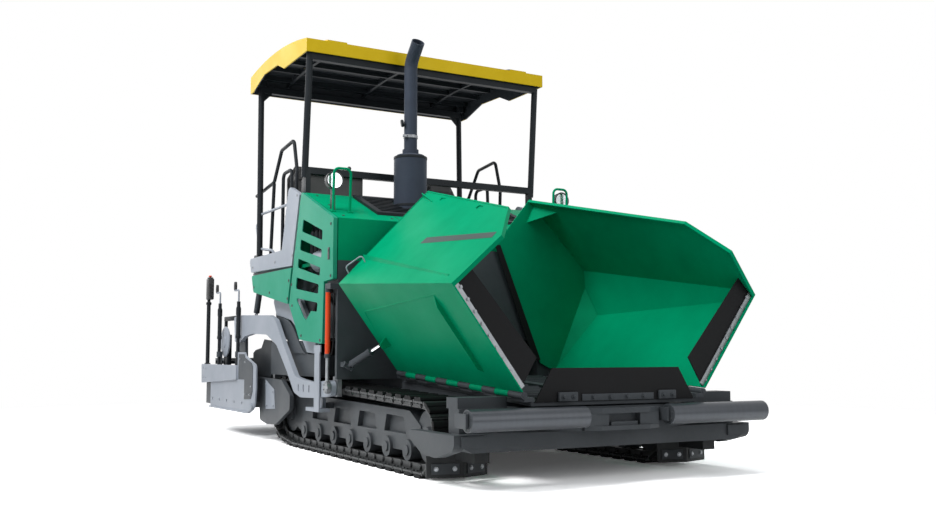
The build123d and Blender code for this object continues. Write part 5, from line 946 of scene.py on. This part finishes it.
def add_hood_seams():
    """Add the narrow seams and the quarter-turn fasteners of the hood's front and top panels."""
    seams = bmesh.new()
    low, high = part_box("hood")
    for y in (-0.62, 0.62):
        front = [facing("hood", (high.x, y, z), (1, 0, 0))[0] for z in (low.z + 0.01, 1.94)]
        top = [facing("hood", (x, y, high.z), (0, 0, 1))[0] for x in (0.13, 0.88)]
        for ends, out in ((front, Vector((0.0004, 0, 0))), (top, Vector((0, 0, 0.0004)))):
            half = Vector((0, 0.003, 0))
            plate(seams, [ends[0] + out - half, ends[0] + out + half, ends[1] + out + half, ends[1] + out - half],
                  out * 2)
    add_heads(seams, "hood", [(x, y, high.z) for x in (0.2, 0.5, 0.82) for y in (-1.12, -0.68, 0.68, 1.12)],
              (0, 0, 1), [(0.012, 0), (0.012, 0.002), (0.009, 0.004), (0, 0.004)], 14)
    add_piece("hood_seams", seams, "black_plastic")


class PAVER_OT_body_trim(bpy.types.Operator):
    """Fasteners, latches, plates and rails of the sides, with the dark plates of painted shade above the tow arms, and
    seams of the hood.
    """
    bl_idname = "paver.body_trim"
    bl_label = "Body trim"

    def execute(self, context):
        radius = context.scene.paver_trim.bolt_size * 0.7
        profile = [(radius, 0), (radius, 0.002), (radius * 0.8, 0.004), (radius * 0.4, 0.004), (radius * 0.35, 0.002),
                   (0, 0.002)]
        door_spots = ((0.845, 1.475), (-0.115, 1.46), (-0.09, 1.27), (0.16, 1.0), (0.62, 0.955), (0.84, 1.9))
        skirt_spots = ((-1.25, 1.5), (-0.19, 1.5), (-0.22, 1.34), (-0.75, 1.42))
        cover_spots = ((-1.3, 1.7), (-0.6, 1.7), (0.0, 2.25), (-0.1, 1.72))
        for name, side in left_and_right():
            for group, node, spots, slot, body in (
                    ("door", f"side_door_{name}", door_spots, "black_plastic", f"{name}_door"),
                    ("skirt", "rear_skirts", skirt_spots, "black_plastic", "machine_frame"),
                    ("cover", "side_covers", cover_spots, "steel", "machine_frame")):
                heads = bmesh.new()
                add_heads(heads, node, [(x, side * 1.25, z) for x, z in spots], (0, side, 0), profile, 14)
                add_piece(f"{group}_fasteners_{name}", heads, slot, body)
            add_door_latch(name, side)
            add_arm_side(name, side)
            add_grab_rails(name, side)
        add_hood_seams()
        return {"FINISHED"}


class PAVER_OT_engine_bay(bpy.types.Operator):
    """Cooler tubes, hoses and air duct that show through the door slots."""
    bl_idname = "paver.engine_bay"
    bl_label = "Engine bay"

    def execute(self, context):
        for name, side in left_and_right():
            y = side * (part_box("engine_block")[1].y + 0.004)
            core, lines, duct = bmesh.new(), bmesh.new(), bmesh.new()
            # upright tubes of the cooler on their rail
            box(core, (0.16, y, 1.52), (0.74, y + side * 0.03, 1.56), 0.004)
            for number in range(6):
                x = 0.18 + 0.105 * number
                turned(core, [(0.03, 0), (0.03, 0.33), (0.022, 0.35)], (x, y + side * 0.035, 1.56), (0, 0, 1), 12)
            add_piece(f"cooler_tubes_{name}", core, "black_paint")
            pipe(lines, [(0.2, y, 1.05), (0.2, y + side * 0.05, 1.1), (0.32, y + side * 0.05, 1.28),
                         (0.5, y + side * 0.05, 1.3), (0.56, y, 1.42)], 0.017, 12, bend=0.05)
            pipe(lines, [(0.1, y, 1.32), (0.12, y + side * 0.045, 1.36), (0.3, y + side * 0.045, 1.44),
                         (0.52, y + side * 0.045, 1.38), (0.6, y, 1.25)], 0.013, 12, bend=0.05)
            add_piece(f"engine_lines_{name}", lines, "black_rubber")
            turned(duct, [(0.09, -0.16), (0.1, -0.15), (0.1, 0.15), (0.09, 0.16)], (0.42, y, 1.64), (1, 0, 0), 20)
            add_piece(f"air_duct_{name}", duct, "silver_paint")
        return {"FINISHED"}


def lamp_glass():
    """Pressed lamp glass: clear, smooth in front, with upright flutes that spread the light."""
    if "lamp_glass" not in made_finishes:
        material, tree, shader, place = new_material("pressed_lamp_glass")
        # flutes are 9 mm apart, drawn 17 mm apart: the wave texture repeats 3.2 times in a unit
        flutes = add_node(tree, "ShaderNodeTexWave", {"Vector": place, "Scale": per_metre(54)},
                          bands_direction="Y"), "Fac"
        set_inputs(tree, shader, {
            "IOR": 1.5, "Transmission Weight": 0.85, "Roughness": 0.06,
            "Base Color": mixed_colour(tree, flutes, "#E9F1F4", "#F7FAFB"),
            "Normal": relief(tree, flutes, 0.3, 0.001)})
        made_finishes["lamp_glass"] = material
    return made_finishes["lamp_glass"]


class PAVER_OT_lamps(bpy.types.Operator):
    """Lenses and reflectors of the headlamps."""
    bl_idname = "paver.lamps"
    bl_label = "Headlamps"

    def execute(self, context):
        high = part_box("headlamps")[1]
        for name, side in left_and_right():
            centre = Vector((high.x - 0.004, side * (high.y - 0.078), 2.29))
            bowl, lens = bmesh.new(), bmesh.new()
            turned(bowl, [(0.064, 0.0), (0.062, -0.004), (0.045, -0.007), (0.02, -0.0085), (0, -0.009)], centre,
                   (1, 0, 0), 28)
            add_piece(f"lamp_reflector_{name}", bowl, "chrome_rod")
            turned(lens, [(0.066, -0.0035), (0.066, -0.001), (0.05, 0.0015), (0.025, 0.003), (0, 0.0035)], centre,
                   (1, 0, 0), 28)
            add_piece(f"lamp_lens_{name}", lens, "chrome_rod", finish=lamp_glass())
        return {"FINISHED"}


def add_cranks(name, side, body):
    """Add the dark sleeves, collars and grips of the two height cranks."""
    tubes, grips = bmesh.new(), bmesh.new()
    y = side * 1.247
    for x, top in ((-2.456, 1.512), (-1.734, 1.501)):
        upright(tubes, [(0.0225, SLEEVE_FOOT), (0.0225, top - 0.24), (0.0195, top - 0.23)], x, y, 18)
        for z in (SLEEVE_FOOT, top - 0.26):
            upright(tubes, [(0.0225, z), (0.0262, z + 0.003), (0.0262, z + 0.03), (0.0225, z + 0.033)], x, y, 18)
        upright(tubes, [(0.0225, top - 0.235), (0.026, top - 0.23), (0.026, top - 0.19), (0.0185, top - 0.17),
                        (0.0185, top - 0.12)], x, y, 18)
        upright(grips, [(0.0135, top + 0.004), (0.0165, top + 0.012), (0.0175, top + 0.05), (0.0155, top + 0.085),
                        (0.011, top + 0.0925), (0, top + 0.0935)], x - 0.13, y, 16)
    add_piece(f"crank_sleeves_{name}", tubes, "black_paint", body)
    add_piece(f"crank_grips_{name}", grips, "black_plastic", body)


def add_control_box(name, side):
    """Add the hand control with its keys and its red stop button on a post."""
    gate = f"{name}_end_gate"
    x, y = -2.955, side * 1.2445
    post, case, button = bmesh.new(), bmesh.new(), bmesh.new()
    upright(post, [(0.022, 0.7245), (0.022, 1.395), (0.030, 1.40), (0.030, 1.425), (0.018, 1.43), (0.018, 1.46)],
            x, y, 18)
    box(post, (x - 0.05, y - 0.022, 0.7245), (x + 0.05, y + 0.022, 0.736), 0.003)
    add_piece(f"control_post_{name}", post, "black_paint", gate)
    box(case, (x - 0.055, y - side * 0.045, 1.455), (x + 0.055, y + side * 0.022, 1.70), 0.014)
    box(case, (x - 0.035, y - side * 0.036, 1.70), (x + 0.035, y + side * 0.016, 1.712), 0.004)
    for number in range(4):
        for column in (-0.03, 0.008):
            spot = (x + 0.056, y + side * column, 1.50 + number * 0.045)
            turned(case, [(0.009, -0.002), (0.009, 0.004), (0.007, 0.006), (0, 0.006)], spot, (1, 0, 0), 12)
    add_piece(f"control_box_{name}", case, "black_plastic", gate)
    turned(button, [(0.012, 0), (0.012, 0.008), (0.02, 0.009), (0.02, 0.016), (0.014, 0.022), (0, 0.023)],
           (x, y - side * 0.01, 1.712), (0, 0, 1), 20)
    add_piece(f"stop_button_{name}", button, "orange_paint", gate)


def add_side_frame(name, side):
    """Add the guide disc and the frame that carries it beside the screed."""
    extension = f"{name}_extension"
    disc, carrier = bmesh.new(), bmesh.new()
    turned(disc, [(0.0, -0.012), (0.155, -0.012), (0.165, -0.006), (0.165, 0.006), (0.155, 0.012), (0.06, 0.012),
                  (0.055, 0.02), (0.0, 0.02)], (-2.415, side * 1.19, 0.972), (0, side, 0), 36)
    add_piece(f"guide_disc_{name}", disc, "silver_paint", extension)
    box(carrier, (-2.46, side * 1.13, 0.72), (-2.37, side * 1.178, 1.05), 0.008)
    box(carrier, (-2.60, side * 1.13, 1.20), (-2.05, side * 1.16, 1.25), 0.006)
    for x in (-2.57, -2.08):
        box(carrier, (x - 0.02, side * 1.13, 0.70), (x + 0.02, side * 1.16, 1.22), 0.005)
    add_piece(f"guide_frame_{name}", carrier, "black_paint", extension)


def add_walkway_studs():
    """Add the raised non-slip studs of the walkway behind the screed."""
    low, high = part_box("screed_walkway")
    studs = bmesh.new()
    row_gap, stud_gap, edge = 0.05, 0.07, 0.03
    for row in range(int((high.x - low.x - 0.04) / row_gap)):
        for column in range(int((high.y - low.y - 0.06) / stud_gap)):
            x = low.x + edge + row * row_gap
            y = low.y + edge + (column + 0.5 * (row % 2)) * stud_gap
            turned(studs, [(0.009, 0), (0.0075, 0.002), (0.005, 0.002)], (x, y, high.z), (0, 0, 1), 6)
    add_piece("walkway_studs", studs, "dark_paint", "screed")


def add_gate_cover(name, side, bolt_size):
    """Add the cover plate bolted on an end gate, and the four plugs sunk in the gate behind it."""
    body = f"{name}_end_gate"
    face_y = side * 1.2552
    front, heads = bmesh.new(), bmesh.new()
    side_plate(front, [(-1.46, 0.838), (-1.652, 0.838), (-1.652, 0.585), (-1.44, 0.585), (-1.44, 0.39),
                       (-1.22, 0.40), (-1.165, 0.47), (-1.165, 0.715), (-1.20, 0.75), (-1.42, 0.80)], face_y,
               side * 0.004)
    add_piece(f"gate_cover_{name}", front, "dark_paint", body)
    for x, z in ((-1.42, 0.76), (-1.60, 0.79), (-1.20, 0.52), (-1.40, 0.44), (-1.25, 0.44)):
        bolt(heads, (x, face_y + side * 0.004, z), (0, side, 0), bolt_size)
    for x in (-2.30, -1.95):
        for z in (0.60, 0.69):
            spot, normal = facing(f"end_gate_{name}", (x, side * 1.27, z), (0, side, 0))
            turned(heads, [(0.008, -0.002), (0.008, 0.0), (0.0, 0.0)], spot - normal * AIR, normal, 10)
    add_piece(f"gate_bolts_{name}", heads, "steel", body)


class PAVER_OT_screed_trim(bpy.types.Operator):
    """Cover plates, cranks, controls and guides of the screed's ends, and studs of its walkway."""
    bl_idname = "paver.screed_trim"
    bl_label = "Screed trim"

    def execute(self, context):
        bolt_size = context.scene.paver_trim.bolt_size * 0.7
        for name, side in left_and_right():
            add_gate_cover(name, side, bolt_size)
            add_cranks(name, side, f"{name}_end_gate")
            add_control_box(name, side)
            add_side_frame(name, side)
        add_walkway_studs()
        return {"FINISHED"}


def tilted_box(shape, turn, low, high, height):
    """Add a box that stands on the console's sloping face."""
    corners = [turn @ Vector((x, y, -0.002)) for x, y in (low, (high[0], low[1]), high, (low[0], high[1]))]
    plate(shape, corners, turn.to_3x3() @ Vector((0, 0, height + 0.002)))


def screen_glass():
    """Toughened display glass: near black, smooth, with a faint blue tone."""
    return clouded("display_glass", (60, 1.0), ("#0D1319", "#16212A"), (0.08, 0.08), ior=1.52)


class PAVER_OT_console_trim(bpy.types.Operator):
    """Screens, keys and steering lever of the console."""
    bl_idname = "paver.console_trim"
    bl_label = "Console"

    def execute(self, context):
        low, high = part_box("control_console")
        place, normal = facing("control_console", (-0.07, (low.y + high.y) / 2, 2.44), (-0.5, 0, 1))
        turn = frame_at(place, normal, along=(0, 1, 0))
        panel, keys, glass = bmesh.new(), bmesh.new(), bmesh.new()
        tilted_box(panel, turn, (-0.045, -0.10), (0.045, 0.10), 0.012)
        tilted_box(glass, turn, (-0.034, -0.085), (0.034, 0.085), 0.0145)
        for column in range(7):
            for row in (-1, 1):
                for hand in (-1, 1):
                    spot = turn @ Vector((row * 0.022, hand * (0.13 + 0.017 * (column % 4)), 0.0))
                    turned(keys, [(0.006, -0.001), (0.006, 0.005), (0.0045, 0.006), (0, 0.006)], spot, normal, 8)
        add_piece("console_screen_frame", panel, "black_plastic")
        add_piece("console_screen", glass, "black_plastic", finish=screen_glass())
        add_piece("console_keys", keys, "silver_paint")
        lever, knob = bmesh.new(), bmesh.new()
        foot = turn @ Vector((0.0, 0.19, 0.0))
        pipe(lever, [foot, foot + Vector((-0.01, 0, 0.05)), foot + Vector((-0.03, 0, 0.09))], 0.006, 10, bend=0.02)
        turned(lever, [(0.022, 0), (0.018, 0.012), (0.009, 0.026)], foot, normal, 20)
        turned(knob, [(0.008, 0), (0.017, 0.012), (0.019, 0.026), (0.014, 0.038), (0, 0.042)],
               foot + Vector((-0.028, 0, 0.085)), Vector((-0.3, 0, 1)), 20)
        add_piece("steering_lever", lever, "steel")
        add_piece("steering_knob", knob, "black_plastic")
        return {"FINISHED"}


class PAVER_OT_exhaust_trim(bpy.types.Operator):
    """Clamp, ring and straps of the exhaust."""
    bl_idname = "paver.exhaust_trim"
    bl_label = "Exhaust"

    def execute(self, context):
        x, y = 0.35, -0.286
        clamp, flap, straps = bmesh.new(), bmesh.new(), bmesh.new()
        radius, muffler = (facing("exhaust", (x, y, z), (1, 0, 0))[0].x - x for z in (2.82, 2.4))
        upright(clamp, [(radius + AIR, 2.795), (radius + 0.006, 2.797), (radius + 0.006, 2.823),
                        (radius + AIR, 2.825)], x, y, 32)
        box(clamp, (x + 0.02, y - radius - 0.03, 2.798), (x + 0.05, y - radius + 0.004, 2.822), 0.003)
        bolt(clamp, (x + 0.035, y - radius - 0.024, 2.81), (0, -1, 0), 0.012)
        add_piece("exhaust_clamp", clamp, "steel")
        turned(flap, [(0.028, -0.012), (0.034, -0.008), (0.034, 0.008), (0.028, 0.012)],
               (x, y - radius - 0.024, 2.93), (0.3, 1, 0.2), 20)
        add_piece("exhaust_flap", flap, "black_paint")
        for z in (2.16, 2.6):
            upright(straps, [(muffler + AIR, z), (muffler + 0.003, z + 0.002), (muffler + 0.003, z + 0.022),
                             (muffler + AIR, z + 0.024)], x, y, 48)
        add_piece("muffler_straps", straps, "black_paint")
        return {"FINISHED"}


class PAVER_OT_tow_point_trim(bpy.types.Operator):
    """Bolted flanges of the tow points and oil lines of the levelling cylinders."""
    bl_idname = "paver.tow_point_trim"
    bl_label = "Tow points"

    def execute(self, context):
        bolt_size = context.scene.paver_trim.bolt_size * 0.55
        end_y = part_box("tow_points")[1].y
        low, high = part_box("levelling_cylinders")
        for name, side in left_and_right():
            heads, line = bmesh.new(), bmesh.new()
            outer = facing("tow_points", (0.83, side * end_y, 0.575), (0, side, 0))[0].y
            for spot in ring((0.8, outer, 0.575), 0.038, 30):
                bolt(heads, spot, (0, side, 0), bolt_size)
            add_piece(f"tow_flange_bolts_{name}", heads, "steel", "tow_blocks")
            fitting_y = side * 1.218
            for z in (low.z + 0.016, high.z - 0.075):
                box(line, (0.812, fitting_y - 0.012, z), (0.832, fitting_y + 0.012, z + 0.03), 0.004)
            port = low.z + 0.031
            pipe(line, [(0.828, fitting_y, port), (0.845, side * 1.216, port), (0.85, side * 1.206, low.z + 0.12),
                        (0.85, side * 1.206, 1.26), (0.86, side * 1.202, 1.33)], 0.006, 10, bend=0.03)
            add_piece(f"levelling_line_{name}", line, "black_rubber")
        return {"FINISHED"}


def seen_directly(tree):
    """1 for rays from the camera, from a mirror-like surface or through glass, else 0, as an output."""
    path = add_node(tree, "ShaderNodeLightPath")
    either = add_node(tree, "ShaderNodeMath", {0: (path, "Is Camera Ray"), 1: (path, "Is Glossy Ray")},
                      operation="ADD")
    return add_node(tree, "ShaderNodeMath", {0: (either, "Value"), 1: (path, "Is Transmission Ray")},
                    operation="ADD", use_clamp=True), "Value"


def emission(tree, strength):
    """White light of a strength, as an output."""
    return add_node(tree, "ShaderNodeEmission", {"Color": linear("#FFFFFF"), "Strength": strength}), 0


def blended(tree, factor, first, second):
    """A surface that goes from the first to the second with the factor, as an output."""
    return add_node(tree, "ShaderNodeMixShader", {0: factor, 1: first, 2: second}), 0


def area_light(name, place, target, size, power):
    """A square soft white light that looks at a target point."""
    lamp = bpy.data.lights.new(name, "AREA")
    lamp.size = size
    lamp.energy = power
    lamp.color = linear("#FFFFFF")[:3]
    holder = add_object(name, lamp)
    holder.location = place
    holder.rotation_euler = (Vector(target) - Vector(place)).to_track_quat("-Z", "Y").to_euler()
    return holder


def add_world(scene, sky):
    """Add surroundings that are white as seen and light the machine like a soft sky."""
    world = bpy.data.worlds.new("studio")
    scene.world = world
    world.use_nodes = True
    tree = world.node_tree
    tree.nodes.clear()
    soft, white = (add_node(tree, "ShaderNodeBackground", {"Color": linear(colour), "Strength": strength})
                   for colour, strength in (("#F2F5F8", sky), ("#FFFFFF", 1.0)))
    add_node(tree, "ShaderNodeOutputWorld", {"Surface": blended(tree, seen_directly(tree), (soft, 0), (white, 0))})


def add_floor(settings):
    """Add the pale floor, which far from the machine is as white as the surroundings."""
    mesh = bpy.data.meshes.new("floor")
    mesh.from_pydata([(x * FLOOR_HALF, y * FLOOR_HALF, 0) for x, y in ((-1, -1), (1, -1), (1, 1), (-1, 1))], [],
                     [(0, 1, 2, 3)])
    floor = add_object("floor", mesh)
    material = bpy.data.materials.new("pale_floor")
    material.use_nodes = True
    tree = material.node_tree
    tree.nodes.clear()
    matt, bright = (add_node(tree, "ShaderNodeBsdfDiffuse", {"Color": colour})
                    for colour in (linear(settings.floor_bounce), [settings.floor_gain] * 3 + [1.0]))
    # the blend is there for every ray that shows the floor, not for those that light the machine
    place = add_node(tree, "ShaderNodeTexCoord")
    middle = add_node(tree, "ShaderNodeVectorMath", {0: (place, "Object")}, operation="LENGTH")
    far = add_node(tree, "ShaderNodeMapRange", {"Value": (middle, "Value"), "From Min": FLOOR_NEAR,
                                                "From Max": FLOOR_FAR}, interpolation_type="SMOOTHSTEP")
    near = add_node(tree, "ShaderNodeAddShader", {0: (bright, 0), 1: emission(tree, settings.floor_glow)})
    seen = blended(tree, (far, "Result"), (near, 0), emission(tree, 1.0))
    add_node(tree, "ShaderNodeOutputMaterial", {"Surface": blended(tree, seen_directly(tree), (matt, 0), seen)})
    mesh.materials.append(material)
    return floor


def add_camera(scene, lens):
    """Add the camera of the low three-quarter view."""
    camera = bpy.data.cameras.new("camera")
    camera.lens = lens
    camera.sensor_width = 36.0
    camera.clip_end = 200.0
    holder = add_object("camera", camera)
    right, forward = Vector(CAMERA_RIGHT), Vector(CAMERA_FORWARD).normalized()
    turn = Matrix((right, right.cross(forward), -forward)).transposed().to_4x4()
    holder.matrix_world = Matrix.Translation(CAMERA_PLACE) @ turn
    scene.camera = holder


class PAVER_OT_stage(bpy.types.Operator):
    """Add the pale floor, the soft lights, the world and the camera."""
    bl_idname = "paver.stage"
    bl_label = "Studio stage"

    def execute(self, context):
        settings = context.scene.paver_stage
        context.scene.view_settings.view_transform = "Standard"
        add_world(context.scene, settings.sky)
        floor = add_floor(settings)
        lights = [area_light(name, place, target, size, settings.key_power * share)
                  for name, place, target, size, share in LIGHTS]
        add_camera(context.scene, settings.lens)
        return {"FINISHED"}


class PAVER_PT_panel(bpy.types.Panel):
    """Lists the paver's steps in the sidebar."""
    bl_idname = "PAVER_PT_panel"
    bl_label = "Tracked asphalt paver"
    bl_space_type = "VIEW_3D"
    bl_region_type = "UI"
    bl_category = "Paver"

    def draw(self, context):
        for group in GROUPS:
            settings = getattr(context.scene, group)
            for name in settings.bl_rna.properties.keys():
                if name not in ("rna_type", "name"):
                    self.layout.prop(settings, name)
        for operator in OPERATORS:
            self.layout.operator(operator.bl_idname)


GROUPS = {
    "paver_stage": PaverStageSettings,
    "paver_track": PaverTrackSettings,
    "paver_seat": PaverSeatSettings,
    "paver_trim": PaverTrimSettings,
}
OPERATORS = [
    PAVER_OT_finishes,
    PAVER_OT_tracks,
    PAVER_OT_seats,
    PAVER_OT_wing_trim,
    PAVER_OT_front_trim,
    PAVER_OT_body_trim,
    PAVER_OT_engine_bay,
    PAVER_OT_lamps,
    PAVER_OT_screed_trim,
    PAVER_OT_console_trim,
    PAVER_OT_exhaust_trim,
    PAVER_OT_tow_point_trim,
    PAVER_OT_stage,
]


def register():
    """Register the classes and put the settings on the scene."""
    for group in (*GROUPS.values(), *OPERATORS, PAVER_PT_panel):
        bpy.utils.register_class(group)
    for name, group in GROUPS.items():
        setattr(bpy.types.Scene, name, PointerProperty(type=group))


def unregister():
    """Take the settings off the scene and unregister the classes."""
    for name in GROUPS:
        delattr(bpy.types.Scene, name)
    for group in (PAVER_PT_panel, *reversed(OPERATORS), *reversed(GROUPS.values())):
        bpy.utils.unregister_class(group)


def main():
    """Run every step in order."""
    register()
    for operator in OPERATORS:
        area, name = operator.bl_idname.split(".")
        getattr(getattr(bpy.ops, area), name)()


if __name__ == "__main__":
    main()
